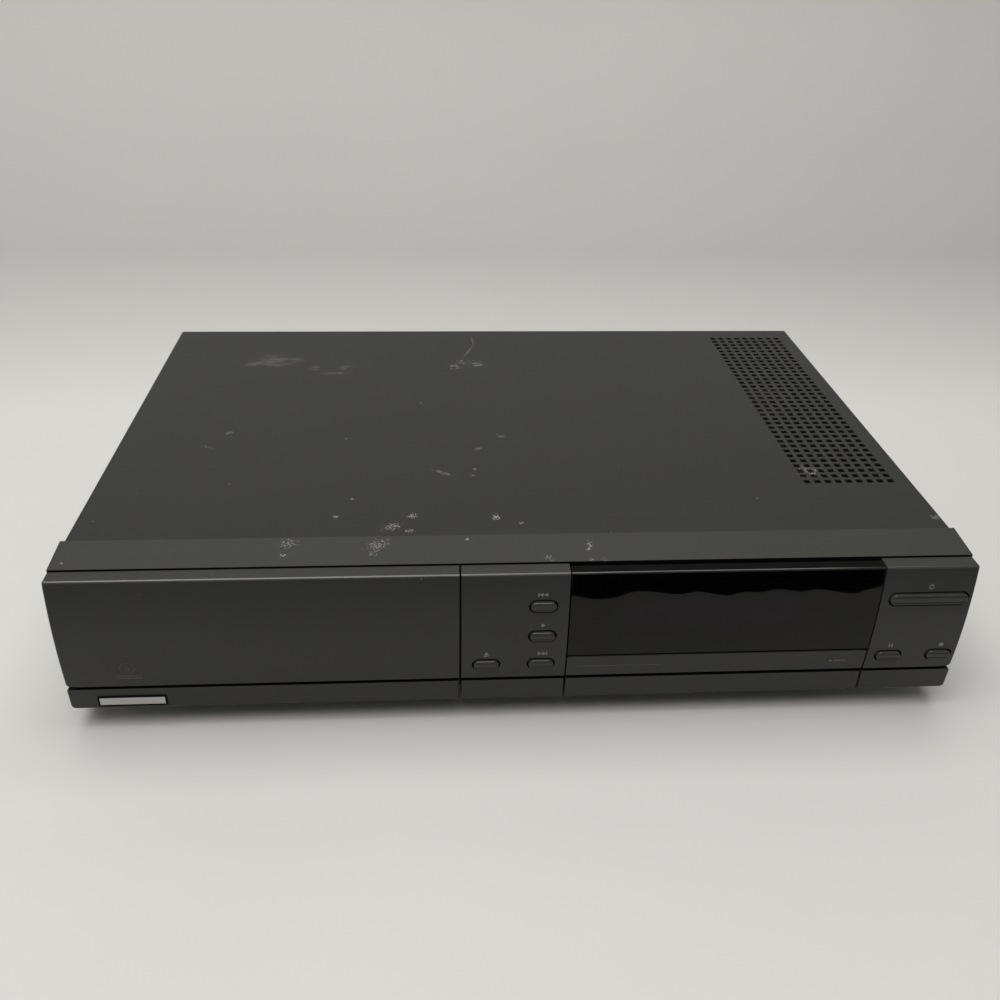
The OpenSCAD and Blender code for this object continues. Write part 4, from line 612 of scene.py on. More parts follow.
FRONT = front_plastic()
FLANGE = flange_plastic()
COVER = cover_paint()
WINDOW = smoked_window()
# A paler, glossier finish for top front edges and cap rims: a painted highlight
EDGE_HIGHLIGHT = plain("painted_edge_highlight", (0.056, 0.056, 0.053), 0.30, grains=3200.0, depth=0.015, gloss=1.0)
# A much paler, glossier edge on the window: a painted highlight
WINDOW_HIGHLIGHT = plain("painted_window_highlight", (0.02, 0.019, 0.019), 0.12, grains=60.0, depth=0.002, gloss=1.0)
# Matte near black laid where shade falls: painted shade on the window's top face and the badge's border
SHADE_BLACK = plain("painted_shade_black", (0.006, 0.006, 0.006), 0.7, grains=3000.0, depth=0.01, gloss=0.05)
BUTTON = plain("button_plastic", (0.053, 0.053, 0.051), 0.36, grains=3600.0, depth=0.015, gloss=0.25)
PRINT = plain("pale_print", (0.25, 0.25, 0.235), 0.55, grains=4000.0, depth=0.004, dust=0.0)
SOFT_PRINT = plain("soft_print", (0.16, 0.16, 0.15), 0.55, grains=4000.0, depth=0.004, dust=0.0)
FAINT_PRINT = plain("faint_print", (0.074, 0.074, 0.071), 0.5, grains=4000.0, depth=0.004, dust=0.0)
BADGE = brushed("badge_silver", (0.50, 0.50, 0.49), 0.36)
STEEL = brushed("zinc_steel", (0.46, 0.47, 0.47), 0.38)
REAR = plain("rear_paint", (0.036, 0.036, 0.035), 0.5, grains=2600.0, depth=0.03)
BLACK = plain("black_moulding", (0.014, 0.014, 0.015), 0.42)
# Painted shadow: near black laid on groove and hole walls, hollows, the pocket and cap undersides where shade
# falls
PAINTED_SHADOW = plain("shadow_plastic", (0.005, 0.005, 0.005), 0.6, gloss=0.2)
RUBBER = plain("foot_rubber", (0.018, 0.018, 0.018), 0.8, grains=1600.0, depth=0.05, dust=0.12)
ACETAL = plain("white_acetal", (0.66, 0.63, 0.56), 0.4)
SCREW = plain("plated_screw", (0.44, 0.44, 0.42), 0.32, metal=1.0, grains=900.0, depth=0.01)
DARK_SCREW = plain("black_screw", (0.02, 0.02, 0.02), 0.35, metal=0.6, grains=900.0, depth=0.01)
ALLOY = brushed("sink_alloy", (0.5, 0.51, 0.52), 0.4)
IRON = plain("laminated_iron", (0.14, 0.12, 0.10), 0.55, metal=0.5, grains=700.0, depth=0.05)
BRASS = plain("plated_brass", (0.62, 0.47, 0.18), 0.25, metal=1.0, grains=900.0, depth=0.008)
GREEN_BOARD = board("green_board", (0.022, 0.085, 0.035), (0.05, 0.16, 0.07))
BROWN_BOARD = board("brown_board", (0.16, 0.085, 0.03), (0.26, 0.14, 0.06))
TUBE = plain("display_glass", (0.012, 0.022, 0.020), 0.12, grains=60.0, depth=0.002)
LENS = plain("lens_blue", (0.06, 0.10, 0.18), 0.08, grains=60.0, depth=0.001, dust=0.0)
RING_WHITE = plain("ring_white", (0.6, 0.6, 0.57), 0.4)
RING_RED = plain("ring_red", (0.36, 0.02, 0.02), 0.4)
RING_YELLOW = plain("ring_yellow", (0.62, 0.42, 0.03), 0.4)

NODE_FINISHES = (
    (COVER, ("top_cover",)),
    (FLANGE, ("front_frame",)),
    (REAR, ("rear_panel", "cartridge_cover")),
    (RUBBER, ("feet", "loader_belt")),
    (STEEL, ("base_pan", "switch_bracket", "clamp_bridge", "drive_base")),
    (SCREW, ("foot_screws", "board_screws", "tray_screws", "spindle")),
    (TUBE, ("display_tube",)),
    (BROWN_BOARD, ("front_board", "socket_board", "power_board")),
    (GREEN_BOARD, ("main_board",)),
    (BLACK, ("tact_switches", "headphone_jack", "front_control_socket", "main_chips", "mains_switch",
             "mains_inlet", "rear_control_sockets", "loader_frame", "disc_tray", "turntable", "pickup_arm",
             "power_capacitors", "volume_pot")),
    (ACETAL, ("power_rod", "lift_cam", "clamp_puck", "motor_pulley", "belt_gear", "drive_gear")),
    (IRON, ("mains_transformer",)),
    (ALLOY, ("heat_sink", "loader_motor", "spindle_motor")),
    (BRASS, ("phono_sockets",)),
    (LENS, ("objective_lens",)),
)


def dress_nodes():
    """Gives every solid that stays in view its finish."""
    for material, names in NODE_FINISHES:
        for name in names:
            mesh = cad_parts[name].data
            mesh.materials.clear()
            mesh.materials.append(material)


def soften_edges(name, width, steps=2):
    """Rounds a solid's sharp edges by live modifiers, with its own mesh left as it is."""
    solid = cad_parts[name]
    weld = solid.modifiers.new("weld", "WELD")
    weld.merge_threshold = 0.002 * MM
    flat = solid.modifiers.new("flat_faces", "DECIMATE")
    flat.decimate_type = "DISSOLVE"
    flat.angle_limit = math.radians(0.4)
    edge = solid.modifiers.new("soft_edges", "BEVEL")
    edge.width = width * MM
    edge.segments = steps
    edge.limit_method = "ANGLE"
    edge.angle_limit = math.radians(40)
    edge.use_clamp_overlap = True


# Front mouldings

def bow(z):
    """How far the bulged front lies behind its crest at a height, in mm."""
    return FRONT_R - math.sqrt(FRONT_R ** 2 - (z - CREST_Z) ** 2)


def bowed_block(name, x_span, z_span, back_y, bands):
    """A block whose front follows the bulge; it is left in edit mode."""
    piece = block(name, (x_span[0], FACE_Y, z_span[0]), (x_span[1], back_y, z_span[1]))
    edit(piece)
    heights = [z_span[0] + (z_span[1] - z_span[0]) * i / bands for i in range(bands + 1)]
    for z in heights[1:-1]:
        bpy.ops.mesh.select_all(action="SELECT")
        bpy.ops.mesh.bisect(plane_co=(0, 0, z * MM), plane_no=(0, 0, 1))
    for z in heights:
        pick(piece, "VERT", lambda p: near(p.z, z) and near(p.y, FACE_Y))
        push(y=bow(z))
    return piece


def on_rim(p, turn):
    """Whether an edge is one of those around a bowed front."""
    return turn > 0.5 and near(p.y, FACE_Y + bow(p.z), 0.2)


def is_outer(x):
    return near(abs(x), HALF_W)


def round_end(piece, x_span, height, radius, steps):
    """Rounds the corner at a height on the end that is the player's own end, if the piece has it."""
    for x in filter(is_outer, x_span):
        round_edges(piece, lambda p, way, turn: near(p.x, x) and abs(way.y) > 0.9 and near(p.z, height),
                    radius, steps)


def round_panel(piece, x_span, z_span, top_r, rim_r):
    """Rounds a bowed block: an outer end's corners, then its top front edge, then the rest of its front."""
    low, high = z_span
    round_end(piece, x_span, low, OUTER_CORNER_R, 5)
    round_end(piece, x_span, high, top_r, 4)

    def is_wide(p):
        return p.z > high - top_r - 0.01 or abs(p.x) > HALF_W - OUTER_CORNER_R - 0.01

    round_edges(piece, lambda p, way, turn: on_rim(p, turn) and is_wide(p), top_r, 5)
    round_edges(piece, lambda p, way, turn: on_rim(p, turn) and not is_wide(p) and turn > 1.0, rim_r, 3)


def hollow_back(piece, back_y, wall, depth):
    """Sinks the flat back of a moulding between its walls."""
    pick(piece, "FACE", lambda p, n: n.y > 0.9 and near(p.y, back_y))
    bpy.ops.mesh.inset(thickness=wall * MM, use_even_offset=True)
    draw_out(y=-depth)


def sill_block(name, x_span, back_y):
    """The sill strip under the long groove, with rounded front edges and a rounder outer corner."""
    piece = block(name, (x_span[0], SILL_Y, SILL_Z), (x_span[1], back_y, SILL_TOP))
    edit(piece)
    round_end(piece, x_span, SILL_Z, SILL_CORNER_R, 6)
    round_end(piece, x_span, SILL_TOP, SILL_TOP_R, 3)
    round_edges(piece, lambda p, way, turn: near(p.y, SILL_Y) and turn > 0.5 and p.z < SILL_TOP - 1.5,
                SILL_EDGE_R, 5)
    round_edges(piece, lambda p, way, turn: near(p.y, SILL_Y) and turn > 1.0, INNER_EDGE_R, 3)
    rest()
    return piece


def groove_core(name, x_span, back_y):
    """The sunk strip at the bottom of the long groove."""
    piece = block(name, (x_span[0] + GROOVE_D, CORE_Y, SILL_TOP - 1),
                  (x_span[1] - GROOVE_D, back_y, PANEL_Z + 1))
    return ease(piece, lambda p, way, turn: abs(way.z) > 0.9 and near(p.y, CORE_Y), 0.5, 2)


def pill_rod(name, x, z, width, height, y0, y1, sides=44):
    """A rod along Y with a pill outline, made by drawing a cylinder's two halves apart; left in edit mode."""
    piece = rod(name, (x, (y0 + y1) / 2, z), height / 2, y1 - y0, (90, 180 / sides, 0), sides)
    edit(piece)
    for side in (-1, 1):
        pick(piece, "VERT", lambda p: (p.x - x) * side > 0.001 and abs(p.x - x) < height)
        push(x=side * (width - height) / 2)
    return piece


def button_cap(node):
    """Where a button's cap is in mm: its middle, width, height, tip and stem end."""
    low, high = corners(node)
    height = high.z - low.z - 2 * (BUTTON_FLANGE + BUTTON_GAP)
    return (low.x + high.x) / 2, (low.z + high.z) / 2, high.x - low.x, height, low.y, high.y


def front_column(name, x_span, bands=14):
    """A whole front column: bulged panel with its button holes, long groove and sill."""
    z_span = (PANEL_Z, PANEL_TOP)
    panel = bowed_block(name + "_panel", x_span, z_span, BACK_Y, bands)
    round_panel(panel, x_span, z_span, EDGE_R, INNER_EDGE_R)
    hollow_back(panel, BACK_Y, WALL, HOLLOW_D)
    rest()
    for node in BUTTONS:
        x, z, width, height = button_cap(node)[:4]
        if x_span[0] < x < x_span[1]:
            hole = pill_rod("pill_cutter", x, z, width + 2 * BUTTON_GAP, height + 2 * BUTTON_GAP,
                            FACE_Y - 2, BACK_Y + 2)
            rest()
            cut(panel, hole)
    sill = sill_block(name + "_sill", x_span, PANEL_Y)
    core = groove_core(name + "_core", x_span, PANEL_Y)
    return join(name, [panel, sill, core])


def in_shade(p, n):
    """A test for the walls of the long groove and of the button holes, and for the hollow behind, which are
    painted dark as shade.
    """
    if SILL_TOP - 0.01 < p.z < PANEL_Z + 0.01 and p.y > SILL_Y + 0.6 or n.y > 0.9:
        return True
    for node in BUTTONS:
        x, z, width, height = button_cap(node)[:4]
        beside, above = abs(p.x - x) - width / 2, abs(p.z - z) - height / 2
        if abs(n.y) < 0.4 and max(beside, above) < BUTTON_GAP + 0.1:
            return True
    return False


def finish_column(piece, body, node):
    """Finishes a column, with its gaps painted dark as painted shade, and its top front edge paler and
    glossier as a painted highlight.
    """
    finish_piece(piece, body, FRONT, node)
    # Painted shade on the groove, the button hole walls and the hollow behind
    recolour(piece, PAINTED_SHADOW, in_shade)
    # Painted highlight along the top front edge
    recolour(piece, EDGE_HIGHLIGHT, lambda p, n: p.z > PANEL_TOP - EDGE_R and 0.2 < n.z < 0.97 and n.y < -0.2)


def make_door():
    """The front of the disc tray."""
    finish_column(front_column("tray_door", DOOR_X), "tray", "tray_front")


def make_pocket():
    """The recess behind the flap, with the strips that carry the window."""
    low, high = POCKET_LOW, POCKET_HIGH
    box = block("pocket_box", low, high)
    edit(box)
    pick(box, "FACE", lambda p, n: n.y < -0.9)
    bpy.ops.mesh.inset(thickness=POCKET_WALL * MM)
    draw_out(y=POCKET_BACK - low.y)
    rest()
    parts = [box]
    for name, front_y, bottom, top in (("pocket_web", PANEL_Y - 4, high.z - 1, WINDOW_Z),
                                       ("window_web", PANEL_Y - 2, PANEL_TOP - 4.6, PANEL_TOP - 2.6)):
        web = block(name, (low.x, front_y, bottom), (high.x, PANEL_Y, top))
        parts.append(ease(web, lambda p, way, turn: abs(way.x) > 0.9 and near(p.y, front_y), 0.3, 2))
    return join("socket_pocket", parts)


def make_front_panel():
    """Both button columns, and the pocket between them."""
    finish_column(front_column("control_column", CONTROL_X), "case", "front_panel")
    finish_column(front_column("power_column", POWER_X), "case", "front_panel")
    # The pocket is finished near black as painted shade
    finish_piece(make_pocket(), "case", PAINTED_SHADOW, "front_panel")


def make_window():
    """The smoked window over the display, with its top face painted matte black as painted shade behind its
    top edge, which is paler and glossier as a painted highlight.
    """
    z_span = (WINDOW_Z, PANEL_TOP)
    back_y = PANEL_Y - 1.2
    pane = bowed_block("window_pane", WINDOW_X, z_span, back_y, 18)
    round_panel(pane, WINDOW_X, z_span, WINDOW_EDGE_R, 0.3)
    hollow_back(pane, back_y, WALL, 3.2)
    rest()
    finish_piece(pane, "case", WINDOW, "display_window")
    # Painted shade on the window's top face
    recolour(pane, SHADE_BLACK, lambda p, n: n.z > 0.97 and near(p.z, PANEL_TOP))
    # Painted highlight on the window's top front edge
    recolour(pane, WINDOW_HIGHLIGHT, lambda p, n: p.z > PANEL_TOP - WINDOW_EDGE_R and 0.2 < n.z < 0.97 and n.y < -0.2)


def make_flap():
    """The socket flap: a bulged strip with rounded upper corners, the groove, the sill and its hinge ears."""
    z_span = (PANEL_Z, FLAP_TOP)
    strip = bowed_block("flap_strip", WINDOW_X, z_span, FLAP_BACK, 4)
    round_edges(strip, lambda p, way, turn: near(p.z, FLAP_TOP) and abs(way.y) > 0.9 and turn > 0.5,
                FLAP_CORNER_R, 6)
    round_edges(strip, lambda p, way, turn: on_rim(p, turn), FLAP_EDGE_R, 3)
    rest()
    parts = [strip, sill_block("flap_sill", WINDOW_X, FLAP_BACK),
             groove_core("flap_core", WINDOW_X, FLAP_BACK)]
    for side, x in ((-1, WINDOW_X[0]), (1, WINDOW_X[1])):
        inner_x = x - side * EAR_T
        ear = rod("flap_ear", ((x + inner_x) / 2, HINGE_Y, HINGE_Z), EAR_R, EAR_T, (0, 90, 0))
        arm = block("flap_arm", (min(x, inner_x), FLAP_BACK - 0.5, HINGE_Z - EAR_R),
                    (max(x, inner_x), HINGE_Y, HINGE_Z + EAR_R))
        pin = rod("flap_pin", (x + side, HINGE_Y, HINGE_Z), 1.5, 2.4, (0, 90, 0))
        parts += [ease(ear, is_sharp, 0.25, 2), ease(arm, runs_deep, 0.2, 2), ease(pin, is_sharp, 0.2, 2)]
    finish_column(join("socket_door", parts), "flap", "socket_flap")


# Buttons

def make_button(node):
    """A pill cap with a rounded rim and a face dished along its length, on a stem."""
    x, z, width, height, tip_y, end_y = button_cap(node)
    tip_y += CAP_IN
    cap_end = FACE_Y + bow(z) + CAP_DEPTH
    cap = pill_rod(node + "_cap", x, z, width, height, tip_y, cap_end)
    round_edges(cap, lambda p, way, turn: near(p.y, tip_y) and turn > 0.8, CAP_R, 5)
    pick(cap, "FACE", lambda p, n: n.y < -0.95 and near(p.y, tip_y))
    bpy.ops.mesh.inset(thickness=DISH_RIM * MM)
    half_x, half_z = (size / 2 - CAP_R - DISH_RIM for size in (width, height))
    for k in range(-3, 4):
        pick(cap, "FACE", lambda p, n: n.y < -0.95 and abs(p.x - x) < half_x and abs(p.z - z) < half_z)
        bpy.ops.mesh.bisect(plane_co=(0, 0, (z + half_z * k / 4) * MM), plane_no=(0, 0, 1))
    for k in range(-10, 11):
        row = half_z * k / 10
        pick(cap, "VERT", lambda p: near(p.y, tip_y) and abs(p.x - x) < half_x + 0.01
             and abs(p.z - z - row) <= half_z / 20)
        push(y=DISH_D * half_z * (1 - (k / 10) ** 2))
    rest()
    stem_y = cap_end - 0.5
    stem = rod(node + "_stem", (x, (stem_y + end_y) / 2, z), STEM_R, end_y - stem_y, (90, 0, 0), 24)
    ease(stem, is_sharp, 0.2, 2)
    key = finish_piece(join(node + "_key", [cap, stem]), node, BUTTON, node)
    # Painted shade on the cap's lower flank
    recolour(key, PAINTED_SHADOW, lambda p, n: n.z < -0.35 and p.z < z - height / 2 + CAP_R)
    # Painted highlight on the cap's upper rim
    recolour(key, EDGE_HIGHLIGHT, lambda p, n: 0.2 < n.z < 0.97 and n.y < -0.2 and p.z > z + height / 2 - CAP_R)


# Prints

def triangle(x, y, size, turn):
    """A triangle that points right, turned by an angle."""
    rest()
    bpy.ops.mesh.primitive_circle_add(vertices=3, radius=size * MM, fill_type="NGON",
                                      location=(x * MM, y * MM, 0), rotation=(0, 0, math.radians(turn - 90)))
    return settle("mark")


def bar(x, y, width, height):
    rest()
    bpy.ops.mesh.primitive_plane_add(size=1, location=(x * MM, y * MM, 0))
    bpy.ops.transform.resize(value=(width * MM, height * MM, 1))
    return settle("mark")


def ring(x, y, radius, line, sides=48):
    rest()
    bpy.ops.mesh.primitive_circle_add(vertices=sides, radius=radius * MM, fill_type="NGON",
                                      location=(x * MM, y * MM, 0))
    piece = settle("mark")
    edit(piece)
    bpy.ops.mesh.select_mode(type="FACE")
    bpy.ops.mesh.select_all(action="SELECT")
    bpy.ops.mesh.inset(thickness=line * MM, use_boundary=True)
    middle = Vector((x, y, 0))
    pick(piece, "FACE", lambda p, n: (p - middle).length < radius - 2 * line and abs(p.x - x) < 0.01)
    bpy.ops.mesh.delete(type="FACE")
    rest()
    return piece


def label(name, parts, x, z, body="case", material=None):
    """Lays flat marks on the bulged face as a thin print: joined, thickened, then stood up and placed."""
    piece = join(name, parts)
    edit(piece)
    bpy.ops.mesh.select_all(action="SELECT")
    draw_out(z=PRINT_T)
    bpy.ops.mesh.select_all(action="SELECT")
    bpy.ops.mesh.normals_make_consistent(inside=False)
    tilt = math.asin((z - CREST_Z) / FRONT_R)
    stand(piece, (math.radians(90) - tilt, 0, 0), (x, FACE_Y + bow(z) - 0.01, z))
    finish_piece(piece, body, material or PRINT)


def make_labels():
    """Plain transport and power signs over the buttons, and the marks on the flap and the door."""
    middle = {node: button_cap(node)[0] for node in BUTTONS}
    above = {node: button_cap(node)[1] + button_cap(node)[3] / 2 for node in BUTTONS}

    def over(node, name, parts):
        label(name, parts, middle[node], above[node] + SIGN_UP)

    over("previous_button", "previous_sign",
         [bar(-2.5, 0, 0.5, 2.0), triangle(-1.0, 0, 1.2, 180), triangle(1.1, 0, 1.2, 180)])
    over("play_button", "play_sign", [triangle(0, 0, 1.3, 0)])
    over("next_button", "next_sign",
         [triangle(-1.1, 0, 1.2, 0), triangle(1.0, 0, 1.2, 0), bar(2.5, 0, 0.5, 2.0)])
    over("open_button", "open_sign", [triangle(0, 0.4, 1.2, 90), bar(0, -0.85, 2.5, 0.5)])
    over("pause_button", "pause_sign", [bar(-0.65, 0, 0.6, 2.0), bar(0.65, 0, 0.6, 2.0)])
    over("stop_button", "stop_sign", [bar(0, 0, 1.9, 1.9)])
    over("power_button", "power_sign", [ring(0, 0, 1.25, 0.35), bar(0, 0.9, 0.4, 1.5)])
    label("pull_sign", [triangle(-3.2, 0, 0.9, -90), bar(1.2, 0.1, 5.6, 0.45)],
          WINDOW_X[1] - 13.5, 30.9, "flap", SOFT_PRINT)
    label("flap_rule", [bar(0, 0, 40.0, 0.5)], WINDOW_X[0] + 25, 31.2, "flap", FAINT_PRINT)
    label("disc_sign", [ring(0, 1.6, 3.4, 0.4, 64), ring(0, 1.6, 1.1, 0.35),
                        bar(0, -2.9, 12.0, 0.9), bar(0, -4.3, 12.0, 0.9)],
          DOOR_X[0] + 29.5, 34.8, "tray", FAINT_PRINT)


def make_badge():
    """A plain bare badge plate on the sill, silver within a black border and black sides that are painted
    shadow.
    """
    low, high = corners("badge_plate")
    middle = (low + high) / 2
    plate = block("bare_badge", low, high)
    edit(plate)
    round_edges(plate, runs_deep, 0.8, 4)
    pick(plate, "FACE", lambda p, n: n.y < -0.95 and near(p.y, low.y))
    bpy.ops.mesh.inset(thickness=BADGE_BORDER * MM)
    rest()
    finish_piece(plate, "tray", BADGE, "badge_plate")
    # Painted shadow: the border and the sides are near black
    recolour(plate, SHADE_BLACK,
             lambda p, n: n.y > -0.95 or abs(p.x - middle.x) > 1 or abs(p.z - middle.z) > 0.5)


# Knob, screws and sockets

def make_knob():
    """The volume knob behind the flap, with fluted sides and a pointer line."""
    low, high = corners("volume_knob")
    middle_x = (low.x + high.x) / 2
    front_y = low.y
    back_y = front_y + KNOB_D
    knob = rod("knob_body", (middle_x, (front_y + back_y) / 2, SOCKET_Z), KNOB_R, KNOB_D, (90, 0, 0),
               KNOB_FLUTES)
    edit(knob)

    def every_other(p, n):
        angle = math.atan2(p.z - SOCKET_Z, p.x - middle_x)
        return abs(n.y) < 0.05 and int(round(angle / (2 * math.pi) * KNOB_FLUTES - 0.5)) % 2 == 0

    round_edges(knob, lambda p, way, turn: near(p.y, front_y) and turn > 0.8, 0.4, 3)
    pick(knob, "FACE", every_other)
    bpy.ops.mesh.inset(thickness=FLUTE_EDGE * MM, depth=-FLUTE_D * MM, use_individual=True)
    rest()
    line_y = front_y - PRINT_T
    line = block("knob_line", (middle_x - 0.4, line_y, SOCKET_Z + 2),
                 (middle_x + 0.4, front_y + 0.5, SOCKET_Z + 5.4))
    ease(line, lambda p, way, turn: near(p.y, line_y), 0.03, 1)
    shaft = rod("knob_shaft", (middle_x, back_y + 4, SOCKET_Z), 1.5, 9.0, (90, 0, 0), 24)
    ease(shaft, is_sharp, 0.2, 2)
    finish_piece(join("volume_grip", [knob, shaft]), "volume", BUTTON, "volume_knob")
    finish_piece(line, "volume", PRINT, "volume_knob")


def screw_head(name, place, axis):
    """A pan head with a cross recess, on its shank; axis is the way the head faces."""
    head = rod(name, (0, 0, HEAD_H / 2), HEAD_R, HEAD_H, (0, 0, 0), 40)
    ease(head, lambda p, way, turn: near(p.z, HEAD_H) and turn > 0.8, HEAD_H / 2, 4)
    for half_x, half_y in ((1.7, 0.35), (0.35, 1.7)):
        slot = block("cross_cutter", (-half_x, -half_y, 0.5), (half_x, half_y, 2))
        cut(head, ease(slot, runs_up, 0.1, 1))
    shank = rod("shank", (0, 0, -2.9), SHANK_R, SHANK_L, (0, 0, 0), 20)
    ease(shank, lambda p, way, turn: near(p.z, -5.9), 0.5, 2)
    head = join(name, [head, shank])
    stand(head, Vector((0, 0, 1)).rotation_difference(Vector(axis)).to_euler(), place)
    return head


def make_screws():
    """The screws of the cover's sides, of its rear edge and of the expansion bay."""
    heads = []
    for side in (-1, 1):
        for back in SIDE_SCREWS_BACK:
            heads.append(screw_head("screw", (side * COVER_HW, FLANGE_Y + back, SIDE_SCREW_Z), (side, 0, 0)))
    for x in REAR_SCREWS_X:
        heads.append(screw_head("screw", (x, REAR_Y, REAR_SCREW_Z), (0, 1, 0)))
    for x in BAY_SCREWS_X:
        heads.append(screw_head("screw", (x, REAR_PANEL_Y + BAY_COVER_T, BAY_SCREW_Z), (0, 1, 0)))
    finish_piece(join("cover_screw_heads", heads), "case", DARK_SCREW, "cover_screws")


def socket_pins(name, x, z, floor_y, side, reach=4.0):
    """A circle of contact pins and a key in a round socket; side is the way the socket faces."""
    pins = []
    for angle in map(math.radians, PIN_ANGLES):
        pin = rod("pin", (x + PIN_CIRCLE_R * math.sin(angle), floor_y + side * reach / 2,
                          z + PIN_CIRCLE_R * math.cos(angle)), PIN_R, reach, (90, 0, 0), 12)
        pins.append(ease(pin, is_sharp, 0.15, 2))
    key_y = floor_y + side * 5
    key = block("key", (x - 0.9, min(floor_y, key_y), z - 0.6), (x + 0.9, max(floor_y, key_y), z + 0.6))
    ease(key, runs_deep, 0.25, 2)
    finish_piece(join(name, pins), "case", BRASS)
    finish_piece(key, "case", BLACK)
    key.name = name + "_key"


def phono_ring(name, x, z, tip_y, material):
    """The coloured collar in the end of a phono socket."""
    collar = rod(name, (x, tip_y - 0.3, z), COLLAR_R, COLLAR_T, (90, 0, 0), 40)
    edit(collar)
    pick(collar, "FACE", lambda p, n: abs(n.y) > 0.9)
    bpy.ops.mesh.inset(thickness=COLLAR_WALL * MM)
    bpy.ops.mesh.delete(type="FACE")
    pick(collar, "EDGE", lambda p, way, turn: Vector((p.x - x, 0, p.z - z)).length < 2.0)
    bpy.ops.mesh.bridge_edge_loops()
    round_edges(collar, lambda p, way, turn: turn > 0.8 and p.y > tip_y - 0.1, 0.08, 2)
    rest()
    finish_piece(collar, "case", material)


def make_sockets():
    """Contacts and collars of the round sockets and the phono sockets."""
    low, high = corners("rear_control_sockets")
    for name, x in (("rear_pins_left", low.x + SOCKET_HALF), ("rear_pins_right", high.x - SOCKET_HALF)):
        socket_pins(name, x, low.z + SOCKET_HALF, high.y - 7.6, 1)
    low, high = corners("front_control_socket")
    socket_pins("front_pins", (low.x + high.x) / 2, SOCKET_Z, low.y + 8.8, -1)
    low, high = corners("phono_sockets")
    for i, material in enumerate((RING_WHITE, RING_RED, RING_YELLOW, RING_WHITE)):
        phono_ring("phono_collar_%d" % (i + 1), low.x + SOCKET_HALF + PHONO_PITCH * i, low.z + SOCKET_HALF,
                   high.y, material)


# Studio, with places in m

LENS_MM = 36.293
VIEW_ANGLES = (-4.467, -30.596, -1.549)
VIEW_FROM_FACE = (-0.040916, -0.365279, 0.339931)
FLOOR_SIZE = (3.2, 1.92, 1)
FLOOR_Y = -0.64
FLOOR_SHADE_STOPS = ((0.0, 0.85), (0.42, 0.82), (0.68, 0.58), (0.82, 0.67), (1.0, 0.84))
DARK_FROM_Y = (-0.310, -0.280)
SWEEP_STEPS = 14
LAMP_COLOUR = (1.0, 0.99, 0.962)
WALL_SEEN = (0.47, 0.465, 0.45, 1)
SKY_LIGHT = (0.09, 0.09, 0.092, 1)
GROUND_LIGHT = (0.006, 0.006, 0.006, 1)
DARK_ROOM = (0.012, 0.012, 0.012, 1)

# The sweep's sizes, in mm
SWEEP_R = 300.0
BACKDROP_H = 700.0


def lay_floor():
    """A pale floor that sweeps up behind the player, its colour painted darker across the sweep as painted
    shade; mirrors see a dark room in front of it.
    """
    rest()
    bpy.ops.mesh.primitive_plane_add(size=1, location=(0, FLOOR_Y, 0))
    bpy.ops.transform.resize(value=FLOOR_SIZE)
    floor = settle("floor_sweep")
    edit(floor)
    pick(floor, "EDGE", lambda p, way, turn: p.y > 300)
    for i in range(SWEEP_STEPS):
        a, b = (math.pi / 2 * k / SWEEP_STEPS for k in (i, i + 1))
        draw_out(y=SWEEP_R * (math.sin(b) - math.sin(a)), z=SWEEP_R * (math.cos(a) - math.cos(b)))
    draw_out(z=BACKDROP_H)
    rest()
    made = bpy.data.materials.new("pale_sheet")
    made.use_nodes = True
    tree = made.node_tree
    shader = tree.nodes["Principled BSDF"]
    shader.inputs["Roughness"].default_value = 0.9
    shader.inputs["Specular IOR Level"].default_value = 0.2
    place = tree.nodes.new("ShaderNodeTexCoord").outputs["Object"]
    cloud = wire(tree, "ShaderNodeTexNoise", {"Vector": place, "Scale": 5.0, "Detail": 3.0})
    across, along, above = wire(tree, "ShaderNodeSeparateXYZ", {0: place}).outputs
    # Painted shade: the colour steps darker up the sweep and lighter again up the backdrop
    shade_ramp = wire(tree, "ShaderNodeValToRGB", {0: span(tree, sums(tree, "ADD", along, above), -0.3, 0.9)})
    ramp = shade_ramp.color_ramp
    for step, (at, tone) in enumerate(FLOOR_SHADE_STOPS):
        stop = ramp.elements[step] if step < 2 else ramp.elements.new(at)
        stop.position = at
        stop.color = (tone, tone * 0.99, tone * 0.965, 1)
    soft = span(tree, cloud.outputs[0], 0.3, 0.7, 0.0, 0.06)
    sheet = blend(tree, soft, shade_ramp.outputs[0], (0.5, 0.5, 0.49, 1))
    line = wire(tree, "ShaderNodeCombineXYZ", {"X": across}).outputs[0]
    wave = wire(tree, "ShaderNodeTexNoise", {"Vector": line, "Scale": 26.0, "Detail": 1.0}).outputs[0]
    front = sums(tree, "LESS_THAN", along, span(tree, wave, 0.3, 0.7, *DARK_FROM_Y))
    mirrored = tree.nodes.new("ShaderNodeLightPath").outputs["Is Glossy Ray"]
    tree.links.new(blend(tree, sums(tree, "MULTIPLY", front, mirrored), sheet, DARK_ROOM),
                   shader.inputs["Base Color"])
    floor.data.materials.append(made)
    hold(floor)
    bpy.ops.object.shade_smooth()
    rest()


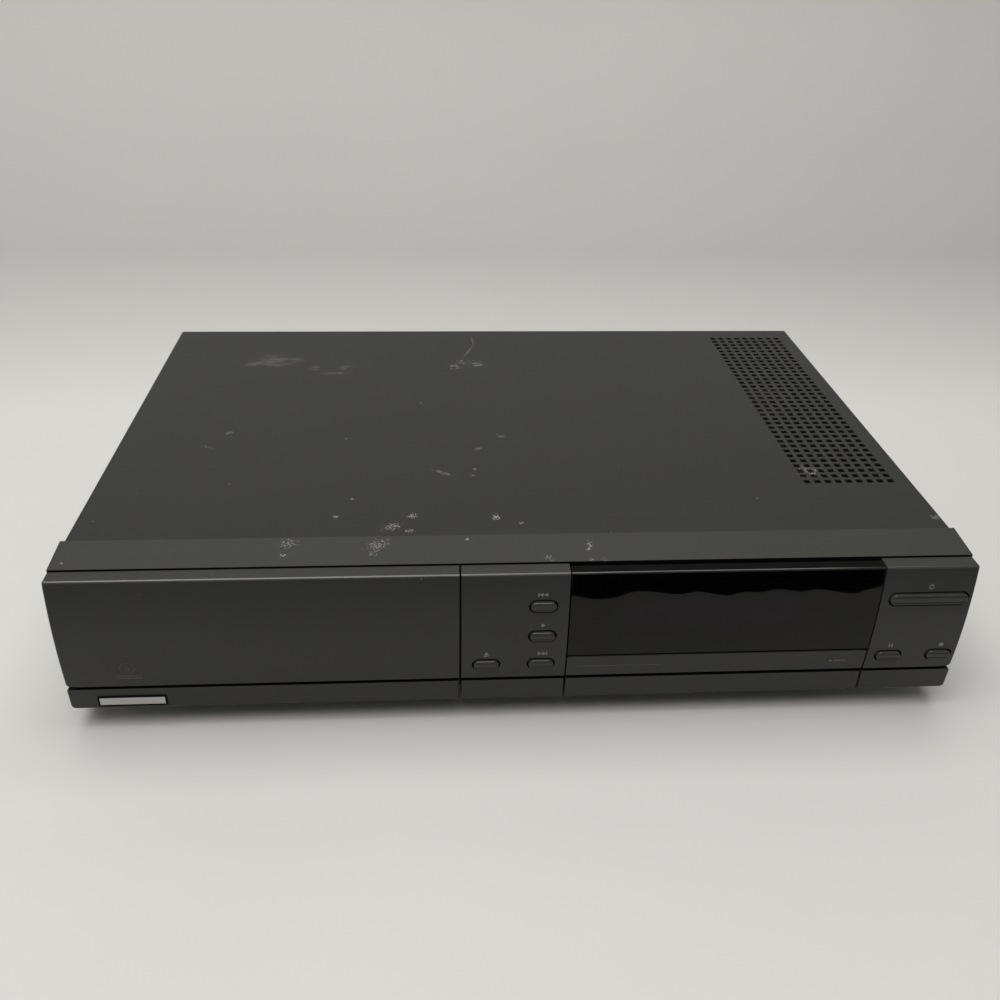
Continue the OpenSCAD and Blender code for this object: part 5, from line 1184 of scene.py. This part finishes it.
def hang_lamp(name, place, aim, size, power):
    lamp = bpy.data.lights.new(name, "AREA")
    lamp.shape = "RECTANGLE"
    lamp.size, lamp.size_y = size
    lamp.energy = power
    lamp.color = LAMP_COLOUR
    holder = bpy.data.objects.new(name, lamp)
    holder.location = place
    holder.rotation_euler = (Vector(aim) - Vector(place)).to_track_quat("-Z", "Y").to_euler()
    bpy.context.scene.collection.objects.link(holder)


def light_studio():
    """Soft light from above and in front, and a dim surround that the camera sees as a pale wall."""
    hang_lamp("front_softbox", (-0.4, -0.66, 1.45), (0.0, -0.1, 0.0), (1.5, 0.7), 10.0)
    hang_lamp("overhead_softbox", (0.0, 0.10, 1.45), (0.0, 0.0, 0.0), (1.5, 1.0), 10.5)
    world = bpy.data.worlds.new("studio")
    bpy.context.scene.world = world
    world.use_nodes = True
    tree = world.node_tree
    surround = tree.nodes["Background"]
    surround.inputs["Strength"].default_value = 1.0
    way = wire(tree, "ShaderNodeSeparateXYZ", {0: tree.nodes.new("ShaderNodeTexCoord").outputs["Generated"]})
    up = span(tree, way.outputs["Z"], -0.02, 0.12)
    light = blend(tree, up, GROUND_LIGHT, SKY_LIGHT)
    seen = tree.nodes.new("ShaderNodeLightPath").outputs["Is Camera Ray"]
    tree.links.new(blend(tree, seen, light, WALL_SEEN), surround.inputs["Color"])


def set_camera():
    """The photograph's place, angle and lens, for a square frame."""
    lens = bpy.data.cameras.new("photo_view")
    lens.sensor_fit = "HORIZONTAL"
    lens.sensor_width = 36.0
    lens.lens = LENS_MM
    lens.clip_start = 0.02
    view = bpy.data.objects.new("photo_view", lens)
    turn, dip, roll = (Matrix.Rotation(math.radians(a), 3, axis) for a, axis in zip(VIEW_ANGLES, "ZXY"))
    turned = turn @ dip @ roll
    right, ahead, up = (turned.col[i] for i in range(3))
    pose = Matrix((right, up, -ahead)).transposed().to_4x4()
    x, y, z = VIEW_FROM_FACE
    pose.translation = (x, FACE_Y * MM + y, z)
    view.matrix_world = pose
    bpy.context.scene.collection.objects.link(view)
    bpy.context.scene.camera = view


bpy.context.scene.view_settings.view_transform = "Standard"
set_camera()
light_studio()
lay_floor()
dress_nodes()
soften_edges("front_frame", 0.15)
soften_edges("top_cover", 0.25)
make_door()
make_front_panel()
make_window()
make_flap()
for name in BUTTONS:
    make_button(name)
make_labels()
make_badge()
make_knob()
make_screws()
make_sockets()
rest()
